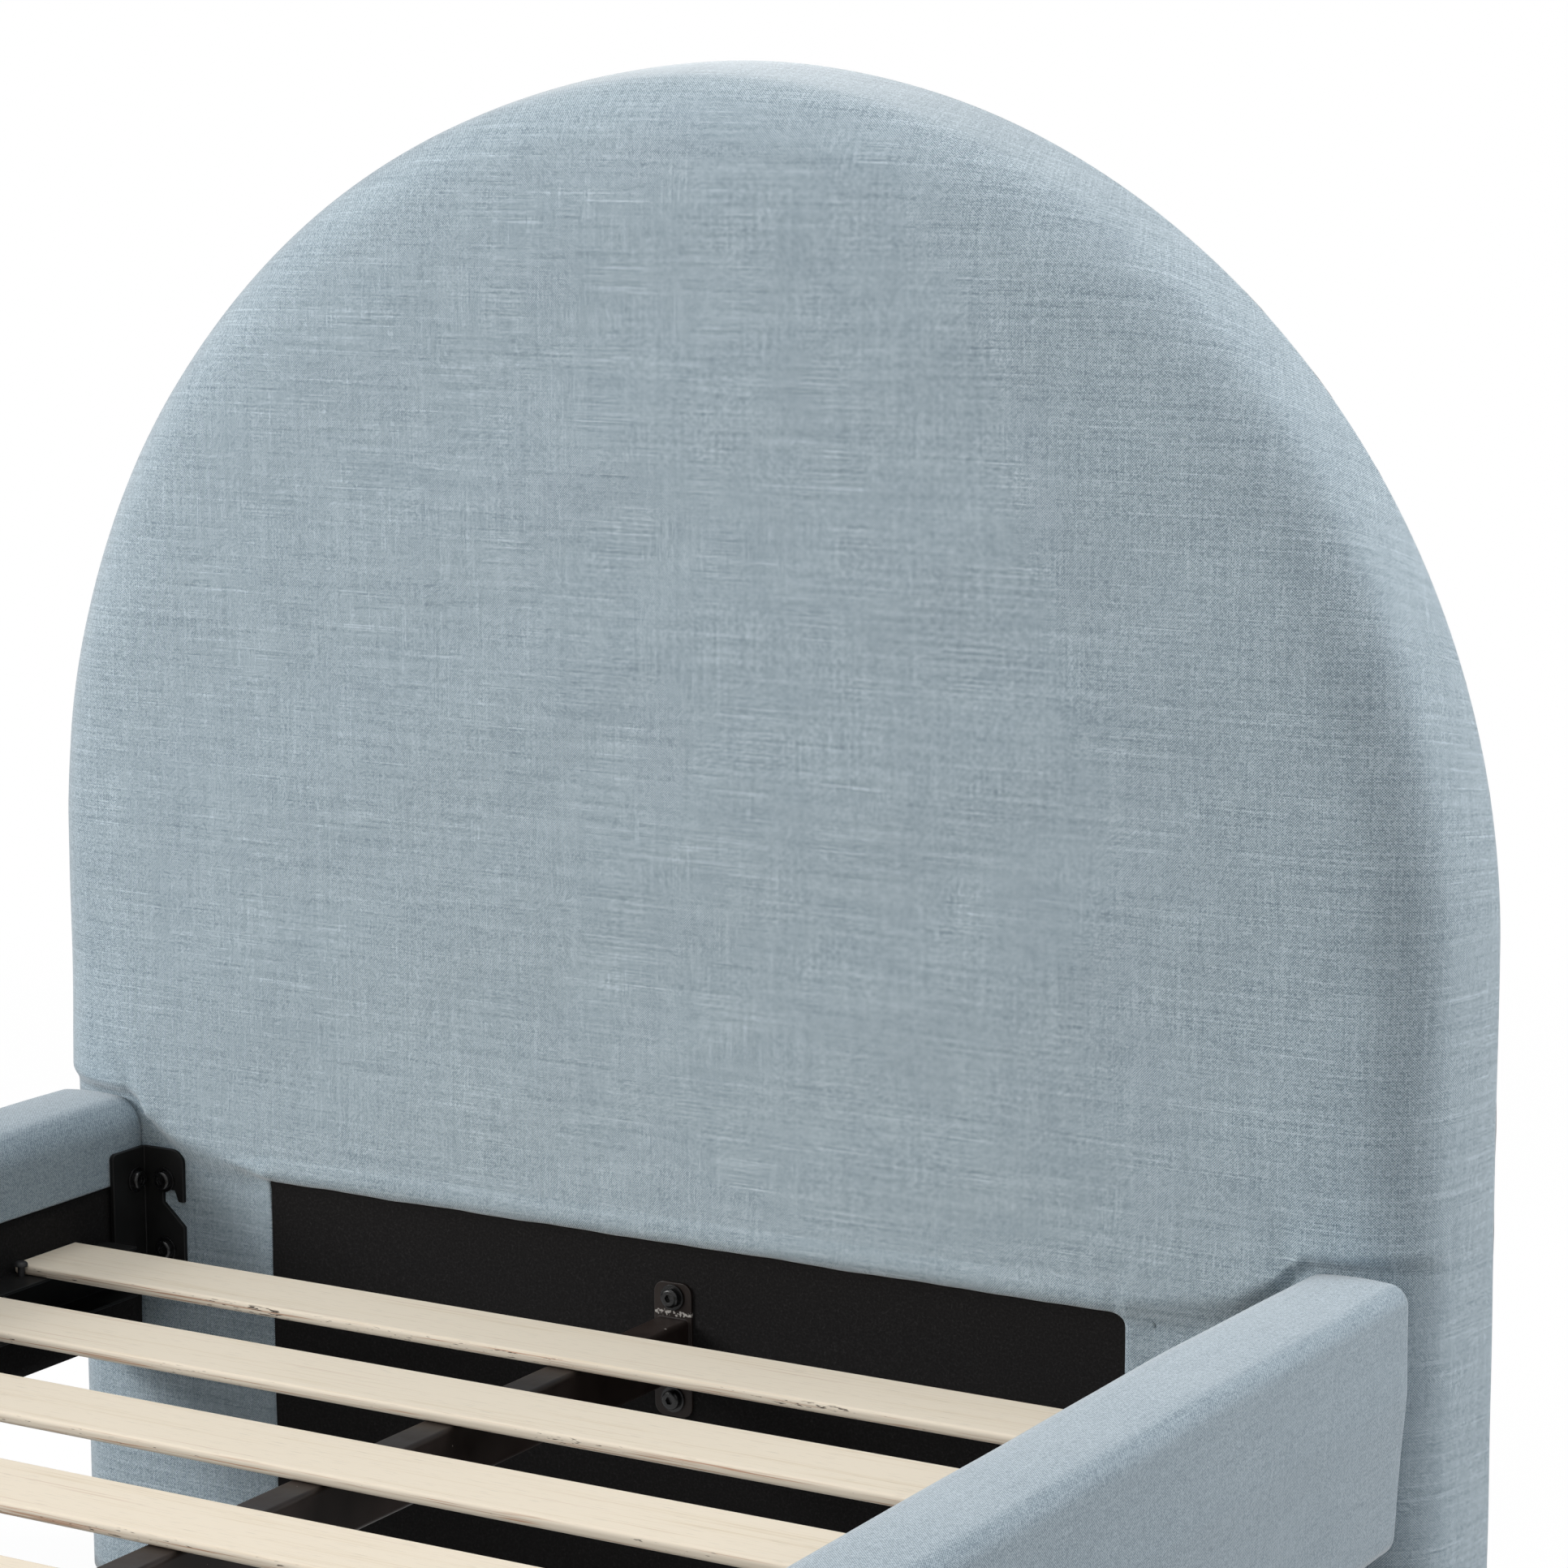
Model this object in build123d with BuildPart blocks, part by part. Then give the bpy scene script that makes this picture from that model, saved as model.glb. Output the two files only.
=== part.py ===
"""Toddler bed: arched upholstered headboard, padded side rails, slatted base on a steel centre beam.

Millimetres. +X is to the right seen from the foot end, +Y points to the headboard, +Z is up.
The origin is on the floor, under the middle of the whole bed.
"""
from build123d import *
import os

os.makedirs("parts", exist_ok=True)

# Mattress well
mattress_width = 711
mattress_length = 1321
mattress_side_gap = 2.5
mattress_end_gap = 4.5

# Upholstery layers
cover_thickness = 1.5
lining_thickness = 1.0

# Headboard
headboard_width = 860
headboard_spring_height = 443
headboard_foam_thickness = 25
headboard_panel_thickness = 5
headboard_frame_depth = 42
headboard_side_padding = 5
headboard_roll_width = 60
headboard_roll_depth = 28
headboard_foam_clearance = 0.3
headboard_back_turning = 24
headboard_lining_margin = 10
stile_width = 150
bottom_rail_height = 45
middle_rail_bottom = 150
middle_rail_height = 100
arch_rib_width = 70

# Black panel sewn into the lower front of the headboard
window_width = 536
window_top = 259.5
window_bottom = 12
window_corner_radius = 7
window_seam_gap = 0.2

# Side rails and footboard, which share one section
rail_thickness = 61
rail_bottom = 157
rail_height = 137
rail_crown_radius = 12
rail_heel_radius = 10
rail_draw_in = 6
rail_draw_height = 84
rail_draw_radius = 60
rail_board_thickness = 24
rail_top_padding = 12
flap_padding = 3
cover_inside_drop = 45.4
cover_bottom_gap = 20

# Corner brackets
bracket_flange = 30
bracket_thickness = 2.5
bracket_bottom = 187
bracket_height = 80
bracket_bend_radius = 3
bracket_board_corner_radius = 7.5
bracket_rail_corner_radius = 3
hook_notch_depth = 14.7
hook_tooth_root = 6
hook_tooth_point = 3.5
hook_notch_top = 243.5
hook_notch_shoulder = 235.6
hook_tooth_tip = 237
hook_ramp_bottom = 222.6
bracket_bolt_setback = 17
bracket_upper_bolt_height = 249
bracket_lower_bolt_height = 208.5
rail_bolt_setback = 10.5
rail_lower_bolt_height = 196

# Fasteners
bolt_diameter = 6
bolt_head_diameter = 10.5
bolt_head_height = 3.3
bolt_socket_across = 4
bolt_socket_depth = 1.8
bolt_hole_clearance = 1
thread_clearance = 0.2
washer_diameter = 14
washer_thickness = 1.2
insert_nut_diameter = 10
insert_nut_length = 15
insert_bolt_reach = 12
tee_nut_flange_diameter = 19
tee_nut_flange_thickness = 1.5
tee_nut_barrel_diameter = 8
tee_nut_barrel_length = 10
fastener_seat_clearance = 0.1

# Slats and the ledgers that carry their ends
slat_count = 12
slat_width = 53
slat_thickness = 6
slat_edge_radius = 2.5
slat_bottom = 217
slat_end_gap = 1.5
head_slat_gap = 57.3
foot_slat_gap = 37
ledger_depth = 23
ledger_height = 28.7
ledger_wall = 1.5
ledger_bracket_gap = 2
ledger_screw_count = 6
ledger_screw_end_distance = 90
ledger_screw_diameter = 4
ledger_screw_length = 20
ledger_screw_head_diameter = 8
ledger_screw_head_height = 2.2

# Slat pegs
peg_stem_diameter = 3.8
peg_head_diameter = 7.6
peg_head_height = 2.6
peg_end_distance = 6
peg_slat_gap = 0.3
peg_barb_diameter = 5.4
peg_barb_length = 3
peg_hole_clearance = 0.2

# Centre beam with a welded plate at each end
beam_width = 20
beam_height = 30
beam_wall = 1.5
beam_corner_radius = 2.5
beam_plate_width = 23
beam_plate_thickness = 3
beam_plate_bottom = 163.2
beam_plate_height = 73.3
beam_plate_corner_radius = 6
beam_upper_bolt_height = 228.5
beam_lower_bolt_height = 172.6

# Centre leg with its levelling foot
leg_tube_diameter = 25
leg_tube_wall = 1.5
leg_plate_length = 70
leg_plate_thickness = 3
leg_plate_corner_radius = 4
leg_tube_bottom = 30
leg_screw_spacing = 52
leg_screw_diameter = 5
leg_screw_length = 10
leg_screw_head_diameter = 8.5
leg_screw_head_height = 2.8
leg_insert_length = 14
leg_insert_flange_thickness = 2
foot_pad_diameter = 38
foot_pad_height = 8
foot_pad_edge_radius = 2
foot_stem_diameter = 8
foot_stem_length = 52
foot_stem_clearance = 0.3
foot_travel = 12
foot_travel_clearance = 0.5
lock_nut_across_flats = 13

# Foot end legs and the glides under everything that stands on the floor
foot_leg_top_diameter = 38
foot_leg_bottom_diameter = 28
foot_leg_setback = 20
foot_leg_end_distance = 60
foot_leg_edge_radius = 2
leg_stud_diameter = 8
leg_stud_in_board = 18
leg_stud_in_leg = 25
leg_stud_clearance = 0.2
glide_height = 3
glide_diameter = 26
glide_edge_radius = 1
glide_pin_diameter = 3
glide_pin_length = 15
glide_pin_clearance = 0.1
headboard_glide_end_distance = 40
headboard_glide_spacing = 80

# Places worked out from the sizes above
inside_width = mattress_width + 2 * mattress_side_gap
inside_length = mattress_length + 2 * mattress_end_gap
rail_inner = inside_width / 2
rail_outer = rail_inner + rail_thickness
rail_top = rail_bottom + rail_height
headboard_thickness = (
    cover_thickness + headboard_foam_thickness + headboard_panel_thickness
    + headboard_frame_depth + cover_thickness + lining_thickness
)
bed_length = headboard_thickness + inside_length + rail_thickness
headboard_back = bed_length / 2
headboard_front = headboard_back - headboard_thickness
foot_inner = headboard_front - inside_length
mid_length = (headboard_front + foot_inner) / 2
foam_front = headboard_front + cover_thickness
panel_front = foam_front + headboard_foam_thickness
frame_front = panel_front + headboard_panel_thickness
frame_back = frame_front + headboard_frame_depth
cover_back = frame_back + cover_thickness
frame_half_width = headboard_width / 2 - cover_thickness - headboard_side_padding
frame_bottom = glide_height + cover_thickness
stile_inner = frame_half_width - stile_width
lining_recess = cover_thickness - lining_thickness
board_inset = cover_thickness + flap_padding
rail_lining_recess = board_inset - lining_thickness
board_bottom = rail_bottom + cover_thickness
board_top = rail_top - cover_thickness - rail_top_padding
board_height = board_top - board_bottom
cover_inside_edge = rail_top - cover_inside_drop
slat_top = slat_bottom + slat_thickness
slat_length = inside_width + 2 * (rail_lining_recess - slat_end_gap)
slat_pitch = (inside_length - head_slat_gap - foot_slat_gap - slat_width) / (slat_count - 1)
ledger_outer = rail_inner + rail_lining_recess
ledger_end_gap = bracket_flange + ledger_bracket_gap
ledger_length = inside_length - 2 * ledger_end_gap
ledger_bottom = slat_bottom - ledger_height
beam_bottom = slat_bottom - beam_height
bolt_hole = bolt_diameter + bolt_hole_clearance
threaded_bore = bolt_diameter + thread_clearance
leg_plate_bottom = beam_bottom - leg_plate_thickness
foot_leg_x = rail_outer - foot_leg_end_distance
foot_leg_y = foot_inner - foot_leg_setback

# Bolt places: across the bed and up, on the headboard and on the footboard
bracket_bolt_x = rail_inner - bracket_bolt_setback
bracket_bolt_heights = (bracket_upper_bolt_height, bracket_lower_bolt_height)
rail_bolt_heights = (bracket_upper_bolt_height, rail_lower_bolt_height)
beam_bolt_heights = (beam_upper_bolt_height, beam_lower_bolt_height)
bracket_bolt_places = [(side * bracket_bolt_x, z) for side in (-1, 1) for z in bracket_bolt_heights]
beam_bolt_places = [(0, z) for z in beam_bolt_heights]
end_bolt_places = bracket_bolt_places + beam_bolt_places
rail_bolt_ends = (headboard_front - rail_bolt_setback, foot_inner + rail_bolt_setback)
rail_bolt_places = [(y, z) for y in rail_bolt_ends for z in rail_bolt_heights]
ledger_head_end = headboard_front - ledger_end_gap
ledger_screw_pitch = (ledger_length - 2 * ledger_screw_end_distance) / (ledger_screw_count - 1)
ledger_screw_height = slat_bottom - ledger_height / 2
ledger_screw_places = [
    (ledger_head_end - ledger_screw_end_distance - number * ledger_screw_pitch, ledger_screw_height)
    for number in range(ledger_screw_count)
]
slat_head_edges = [headboard_front - head_slat_gap - number * slat_pitch for number in range(slat_count)]
peg_x = slat_length / 2 - peg_end_distance
peg_places = [
    (side * peg_x, edge - slat_width - peg_slat_gap - peg_stem_diameter / 2)
    for side in (-1, 1)
    for edge in slat_head_edges
]
headboard_glide_outer = headboard_width / 2 - headboard_glide_end_distance
headboard_glide_y = (frame_front + frame_back) / 2
headboard_glide_places = [
    (side * (headboard_glide_outer - step * headboard_glide_spacing), headboard_glide_y)
    for side in (-1, 1)
    for step in (0, 1)
]
foot_leg_places = [(-foot_leg_x, foot_leg_y), (foot_leg_x, foot_leg_y)]


def facing_foot(y):
    """A plane across the bed at y whose normal points to the foot end; its axes are X and Z."""
    return Plane.XZ.offset(-y)


def facing_right(x):
    """A plane along the bed at x whose normal points right; its axes are Y and Z."""
    return Plane.YZ.offset(x)


def headboard_outline(half, bottom):
    """A headboard layer seen from the front: straight sides at half under a half-round arch."""
    with BuildSketch() as outline:
        with BuildLine():
            Line((half, headboard_spring_height), (half, bottom))
            Line((half, bottom), (-half, bottom))
            Line((-half, bottom), (-half, headboard_spring_height))
            ThreePointArc(
                (-half, headboard_spring_height),
                (0, headboard_spring_height + half),
                (half, headboard_spring_height),
            )
        make_face()
    return outline.sketch


def back_layer_outline(margin):
    """The outline of a layer on the headboard's back, its edge set in by margin."""
    return headboard_outline(headboard_width / 2 - margin, glide_height + margin)


def headboard_side_section(inset, back):
    """The right half of the headboard cut level, drawn in by inset, its front edge a soft roll."""
    half = headboard_width / 2 - inset
    front = headboard_front + inset
    roll_width = headboard_roll_width - inset
    roll_depth = headboard_roll_depth - inset
    with BuildSketch() as section:
        with BuildLine():
            Line((0, front), (half - roll_width, front))
            EllipticalCenterArc(
                (half - roll_width, front + roll_depth), roll_width, roll_depth, start_angle=270, arc_size=90
            )
            Line((half, front + roll_depth), (half, back))
            Polyline((half, back), (0, back), (0, front))
        make_face()
    return section.sketch


def headboard_form(inset, back):
    """The upholstered headboard from its front to back, drawn in by inset."""
    arch_axis = Axis((0, 0, headboard_spring_height), (0, -1, 0))
    bottom = glide_height + inset
    with BuildPart() as form:
        with BuildSketch(Plane.XY.offset(bottom)):
            add(headboard_side_section(inset, back))
            mirror(about=Plane.YZ)
        extrude(amount=headboard_spring_height - bottom)
        with BuildSketch(Plane.XY.offset(headboard_spring_height)):
            add(headboard_side_section(inset, back))
        revolve(axis=arch_axis, revolution_arc=180)
    return form.part


def rail_section(inset):
    """The upholstered section from its inner face outwards, drawn in by inset.

    The upper corners are soft and the outer face draws in towards the bottom.
    """
    with BuildSketch() as section:
        with BuildLine():
            Polyline(
                (0, rail_bottom),
                (0, rail_top),
                (rail_thickness, rail_top),
                (rail_thickness, rail_bottom + rail_draw_height),
                (rail_thickness - rail_draw_in, rail_bottom),
                close=True,
            )
        make_face()
        fillet(section.vertices().group_by(Axis.Y)[-1], radius=rail_crown_radius)
        shoulder = section.vertices().filter_by(
            lambda v: abs(v.Y - rail_bottom - rail_draw_height) < rail_draw_in
        )
        fillet(shoulder, radius=rail_draw_radius)
        fillet(section.vertices().group_by(Axis.Y)[0].sort_by(Axis.X)[-1], radius=rail_heel_radius)
        if inset:
            offset(amount=-inset)
    return section.sketch


def board_section():
    """The board inside a rail, behind the padded flap on its inner face."""
    with BuildSketch() as section:
        with Locations((board_inset, board_bottom)):
            Rectangle(rail_board_thickness, board_height, align=(Align.MIN, Align.MIN))
    return section.sketch


def lining_section():
    """The black lining: up the board's inner face to the fabric's fold, and in under the bottom."""
    with BuildSketch() as section:
        with Locations((rail_lining_recess, rail_bottom + lining_recess)):
            Rectangle(cover_bottom_gap - rail_lining_recess, lining_thickness, align=(Align.MIN, Align.MIN))
            Rectangle(
                lining_thickness,
                cover_inside_edge - rail_bottom - lining_recess,
                align=(Align.MIN, Align.MIN),
            )
    return section.sketch


def fold_section():
    """The fabric's fold under the flap, from its edge in to the board."""
    with BuildSketch() as section:
        with Locations((0, cover_inside_edge)):
            Rectangle(board_inset, cover_thickness, align=(Align.MIN, Align.MIN))
    return section.sketch


def padding_section():
    """The padding over the top and outside of a rail's board, with a strip in the flap."""
    with BuildSketch() as section:
        add(rail_section(cover_thickness))
        add(board_section(), mode=Mode.SUBTRACT)
        with Locations((0, rail_bottom)):
            Rectangle(
                board_inset,
                cover_inside_edge + cover_thickness - rail_bottom,
                align=(Align.MIN, Align.MIN),
                mode=Mode.SUBTRACT,
            )
    return section.sketch


def cover_space_section():
    """What a rail's cover leaves free: all inside it, the lower inner face and part of the bottom."""
    with BuildSketch() as section:
        add(rail_section(cover_thickness))
        add(fold_section(), mode=Mode.SUBTRACT)
        with Locations((0, rail_bottom)):
            Rectangle(board_inset, cover_inside_edge - rail_bottom, align=(Align.MIN, Align.MIN))
            Rectangle(cover_bottom_gap, cover_thickness, align=(Align.MIN, Align.MIN))
    return section.sketch


def button_bolt(length):
    """A button-head bolt along -Z, its head seated on the XY plane, with a hexagon socket."""
    with BuildPart() as bolt:
        with BuildSketch():
            Circle(bolt_diameter / 2)
        extrude(amount=-length)
        with BuildSketch():
            Circle(bolt_head_diameter / 2)
        extrude(amount=bolt_head_height)
        fillet(bolt.edges().group_by(Axis.Z)[-1], radius=bolt_head_height / 2)
        with BuildSketch(Plane.XY.offset(bolt_head_height)):
            RegularPolygon(bolt_socket_across / 2, 6, major_radius=False)
        extrude(amount=-bolt_socket_depth, mode=Mode.SUBTRACT)
    return bolt.part


def pan_screw(diameter, length, head_diameter, head_height):
    """A pan-head screw along -Z, its head seated on the XY plane."""
    with BuildPart() as screw:
        with BuildSketch():
            Circle(diameter / 2)
        extrude(amount=-length)
        with BuildSketch():
            Circle(head_diameter / 2)
        extrude(amount=head_height)
        fillet(screw.edges().group_by(Axis.Z)[-1], radius=head_height / 2)
    return screw.part


def insert_nut():
    """A threaded insert that runs down from the XY plane."""
    with BuildPart() as nut:
        with BuildSketch():
            Circle(insert_nut_diameter / 2)
            Circle(threaded_bore / 2, mode=Mode.SUBTRACT)
        extrude(amount=-insert_nut_length)
    return nut.part


def tee_nut():
    """A tee nut: its flange lies under the XY plane and its barrel runs up into the timber."""
    with BuildPart() as nut:
        with BuildSketch():
            Circle(tee_nut_flange_diameter / 2)
        extrude(amount=-tee_nut_flange_thickness)
        with BuildSketch():
            Circle(tee_nut_barrel_diameter / 2)
        extrude(amount=tee_nut_barrel_length)
        with BuildSketch(Plane.XY.offset(-tee_nut_flange_thickness)):
            Circle(threaded_bore / 2)
        extrude(amount=tee_nut_flange_thickness + tee_nut_barrel_length, mode=Mode.SUBTRACT)
    return nut.part


def floor_glide():
    """A round glide on the XY plane with a pin that runs up into what it carries."""
    with BuildPart() as glide:
        with BuildSketch():
            Circle(glide_diameter / 2)
        extrude(amount=glide_height)
        fillet(glide.edges().group_by(Axis.Z)[0], radius=glide_edge_radius)
        with BuildSketch(Plane.XY.offset(glide_height)):
            Circle(glide_pin_diameter / 2)
        extrude(amount=glide_pin_length)
    return glide.part


def slat_peg():
    """A mushroom-head peg: its head is on the slat's top, its barb under the ledger's flange."""
    flange_bottom = slat_bottom - ledger_wall
    with BuildPart() as peg:
        with BuildSketch(Plane.XY.offset(flange_bottom)):
            Circle(peg_stem_diameter / 2)
        extrude(amount=slat_top - flange_bottom)
        with BuildSketch(Plane.XY.offset(slat_top)):
            Circle(peg_head_diameter / 2)
        extrude(amount=peg_head_height)
        fillet(peg.edges().group_by(Axis.Z)[-1], radius=peg_head_height * 0.8)
        with BuildSketch(Plane.XY.offset(flange_bottom)):
            Circle(peg_barb_diameter / 2)
        with BuildSketch(Plane.XY.offset(flange_bottom - peg_barb_length)):
            Circle(peg_stem_diameter / 2)
        loft()
    return peg.part


# Headboard timber frame
with BuildPart() as headboard_stile_right:
    with BuildSketch(facing_foot(frame_front)):
        with Locations((stile_inner, frame_bottom)):
            Rectangle(stile_width, headboard_spring_height - frame_bottom, align=(Align.MIN, Align.MIN))
    extrude(amount=-headboard_frame_depth)
    with BuildSketch(facing_foot(frame_front)):
        with Locations(*bracket_bolt_places):
            Circle(tee_nut_barrel_diameter / 2 + fastener_seat_clearance)
    extrude(amount=-headboard_frame_depth, mode=Mode.SUBTRACT)
    with BuildSketch(facing_foot(frame_back)):
        with Locations(*bracket_bolt_places):
            Circle(tee_nut_flange_diameter / 2 + fastener_seat_clearance)
    extrude(amount=tee_nut_flange_thickness, mode=Mode.SUBTRACT)
    with BuildSketch(Plane.XY.offset(frame_bottom)):
        with Locations(*headboard_glide_places):
            Circle(glide_pin_diameter / 2 + glide_pin_clearance)
    extrude(amount=glide_pin_length, mode=Mode.SUBTRACT)
headboard_stile_right.part.label = "headboard_stile_right"
export_step(headboard_stile_right.part, "parts/headboard_stile_right.step")

with BuildPart() as headboard_stile_left:
    mirror(headboard_stile_right.part, about=Plane.YZ)
headboard_stile_left.part.label = "headboard_stile_left"
export_step(headboard_stile_left.part, "parts/headboard_stile_left.step")

with BuildPart() as headboard_bottom_rail:
    with BuildSketch(facing_foot(frame_front)):
        with Locations((0, frame_bottom)):
            Rectangle(2 * stile_inner, bottom_rail_height, align=(Align.CENTER, Align.MIN))
    extrude(amount=-headboard_frame_depth)
headboard_bottom_rail.part.label = "headboard_bottom_rail"
export_step(headboard_bottom_rail.part, "parts/headboard_bottom_rail.step")

with BuildPart() as headboard_middle_rail:
    with BuildSketch(facing_foot(frame_front)):
        with Locations((0, middle_rail_bottom)):
            Rectangle(2 * stile_inner, middle_rail_height, align=(Align.CENTER, Align.MIN))
    extrude(amount=-headboard_frame_depth)
    with BuildSketch(facing_foot(frame_front)):
        with Locations(*beam_bolt_places):
            Circle(tee_nut_barrel_diameter / 2 + fastener_seat_clearance)
    extrude(amount=-headboard_frame_depth, mode=Mode.SUBTRACT)
    with BuildSketch(facing_foot(frame_back)):
        with Locations(*beam_bolt_places):
            Circle(tee_nut_flange_diameter / 2 + fastener_seat_clearance)
    extrude(amount=tee_nut_flange_thickness, mode=Mode.SUBTRACT)
headboard_middle_rail.part.label = "headboard_middle_rail"
export_step(headboard_middle_rail.part, "parts/headboard_middle_rail.step")

with BuildPart() as headboard_arch_rib:
    with BuildSketch(facing_foot(frame_front)):
        with Locations((0, headboard_spring_height)):
            Circle(frame_half_width)
            Circle(frame_half_width - arch_rib_width, mode=Mode.SUBTRACT)
            Rectangle(
                2 * frame_half_width, frame_half_width, align=(Align.CENTER, Align.MAX), mode=Mode.SUBTRACT
            )
    extrude(amount=-headboard_frame_depth)
headboard_arch_rib.part.label = "headboard_arch_rib"
export_step(headboard_arch_rib.part, "parts/headboard_arch_rib.step")

with BuildPart() as headboard_tee_nuts:
    nut_plane = Plane(
        origin=(0, frame_back - tee_nut_flange_thickness, 0), x_dir=(1, 0, 0), z_dir=(0, -1, 0)
    )
    with Locations(nut_plane):
        with Locations(*[(x, z, 0) for x, z in end_bolt_places]):
            add(tee_nut())
headboard_tee_nuts.part.label = "headboard_tee_nuts"
export_step(headboard_tee_nuts.part, "parts/headboard_tee_nuts.step")

# Headboard upholstery
with BuildPart() as headboard_face_panel:
    with BuildSketch(facing_foot(panel_front)):
        add(headboard_outline(frame_half_width, frame_bottom))
        with Locations(*end_bolt_places):
            Circle(bolt_hole / 2, mode=Mode.SUBTRACT)
    extrude(amount=-headboard_panel_thickness)
headboard_face_panel.part.label = "headboard_face_panel"
export_step(headboard_face_panel.part, "parts/headboard_face_panel.step")

with BuildPart() as headboard_foam:
    add(headboard_form(cover_thickness + headboard_foam_clearance, frame_back))
    with BuildSketch(facing_foot(panel_front)):
        add(headboard_outline(frame_half_width, glide_height))
    extrude(amount=-(frame_back - panel_front), mode=Mode.SUBTRACT)
    with BuildSketch(facing_foot(headboard_front)):
        with Locations(*end_bolt_places):
            Circle(bolt_hole / 2)
    extrude(amount=-(panel_front - headboard_front), mode=Mode.SUBTRACT)
headboard_foam.part.label = "headboard_foam"
export_step(headboard_foam.part, "parts/headboard_foam.step")

with BuildPart() as headboard_cover:
    add(headboard_form(0, cover_back))
    add(headboard_form(cover_thickness, frame_back), mode=Mode.SUBTRACT)
    with BuildSketch(facing_foot(frame_back)):
        add(back_layer_outline(headboard_back_turning))
    extrude(amount=-cover_thickness, mode=Mode.SUBTRACT)
    with BuildSketch(facing_foot(headboard_front)) as window:
        with Locations((0, window_bottom)):
            Rectangle(window_width, window_top - window_bottom, align=(Align.CENTER, Align.MIN))
        fillet(window.vertices(), radius=window_corner_radius)
    extrude(amount=-cover_thickness, mode=Mode.SUBTRACT)
    with BuildSketch(facing_foot(headboard_front)):
        with Locations(*bracket_bolt_places):
            Circle(bolt_hole / 2)
    extrude(amount=-cover_thickness, mode=Mode.SUBTRACT)
    with BuildSketch(Plane.XY.offset(glide_height)):
        with Locations(*headboard_glide_places):
            Circle(glide_pin_diameter / 2 + glide_pin_clearance)
    extrude(amount=cover_thickness, mode=Mode.SUBTRACT)
headboard_cover.part.label = "headboard_cover"
export_step(headboard_cover.part, "parts/headboard_cover.step")

with BuildPart() as headboard_front_lining:
    with BuildSketch(facing_foot(headboard_front + lining_recess)) as front_lining:
        with Locations((0, window_bottom + window_seam_gap)):
            Rectangle(
                window_width - 2 * window_seam_gap,
                window_top - window_bottom - 2 * window_seam_gap,
                align=(Align.CENTER, Align.MIN),
            )
        fillet(front_lining.vertices(), radius=window_corner_radius)
        with Locations(*beam_bolt_places):
            Circle(bolt_hole / 2, mode=Mode.SUBTRACT)
    extrude(amount=-lining_thickness)
headboard_front_lining.part.label = "headboard_front_lining"
export_step(headboard_front_lining.part, "parts/headboard_front_lining.step")

with BuildPart() as headboard_back_lining:
    with BuildSketch(facing_foot(cover_back)):
        add(back_layer_outline(headboard_lining_margin))
    extrude(amount=-lining_thickness)
headboard_back_lining.part.label = "headboard_back_lining"
export_step(headboard_back_lining.part, "parts/headboard_back_lining.step")

# Side rails
rail_plane = Plane(origin=(rail_inner, headboard_front, 0), x_dir=(1, 0, 0), z_dir=(0, -1, 0))
rail_core_plane = rail_plane.offset(cover_thickness)
rail_core_length = inside_length - 2 * cover_thickness

with BuildPart() as rail_board_right:
    with BuildSketch(rail_core_plane):
        add(board_section())
    extrude(amount=rail_core_length)
    with BuildSketch(facing_right(rail_inner + board_inset)):
        with Locations(*rail_bolt_places):
            Circle(insert_nut_diameter / 2 + fastener_seat_clearance)
    extrude(amount=insert_nut_length, mode=Mode.SUBTRACT)
    with BuildSketch(facing_right(rail_inner + board_inset)):
        with Locations(*ledger_screw_places):
            Circle(ledger_screw_diameter / 2 + fastener_seat_clearance)
    extrude(amount=ledger_screw_length, mode=Mode.SUBTRACT)
rail_board_right.part.label = "rail_board_right"
export_step(rail_board_right.part, "parts/rail_board_right.step")

with BuildPart() as rail_padding_right:
    with BuildSketch(rail_core_plane):
        add(padding_section())
    extrude(amount=rail_core_length)
    with BuildSketch(facing_right(rail_inner)):
        with Locations(*rail_bolt_places):
            Circle(bolt_hole / 2)
    extrude(amount=board_inset, mode=Mode.SUBTRACT)
rail_padding_right.part.label = "rail_padding_right"
export_step(rail_padding_right.part, "parts/rail_padding_right.step")

with BuildPart() as rail_cover_right:
    with BuildSketch(rail_plane):
        add(rail_section(0))
    extrude(amount=inside_length)
    with BuildSketch(rail_core_plane):
        add(cover_space_section())
    extrude(amount=rail_core_length, mode=Mode.SUBTRACT)
    with BuildSketch(facing_right(rail_inner)):
        with Locations(*rail_bolt_places):
            Circle(bolt_hole / 2)
    extrude(amount=board_inset, mode=Mode.SUBTRACT)
rail_cover_right.part.label = "rail_cover_right"
export_step(rail_cover_right.part, "parts/rail_cover_right.step")

with BuildPart() as rail_lining_right:
    with BuildSketch(rail_core_plane):
        add(lining_section())
    extrude(amount=rail_core_length)
    with BuildSketch(facing_right(rail_inner)):
        with Locations(*rail_bolt_places):
            Circle(bolt_hole / 2)
        with Locations(*ledger_screw_places):
            Circle(ledger_screw_diameter / 2 + fastener_seat_clearance)
    extrude(amount=board_inset, mode=Mode.SUBTRACT)
rail_lining_right.part.label = "rail_lining_right"
export_step(rail_lining_right.part, "parts/rail_lining_right.step")

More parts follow.
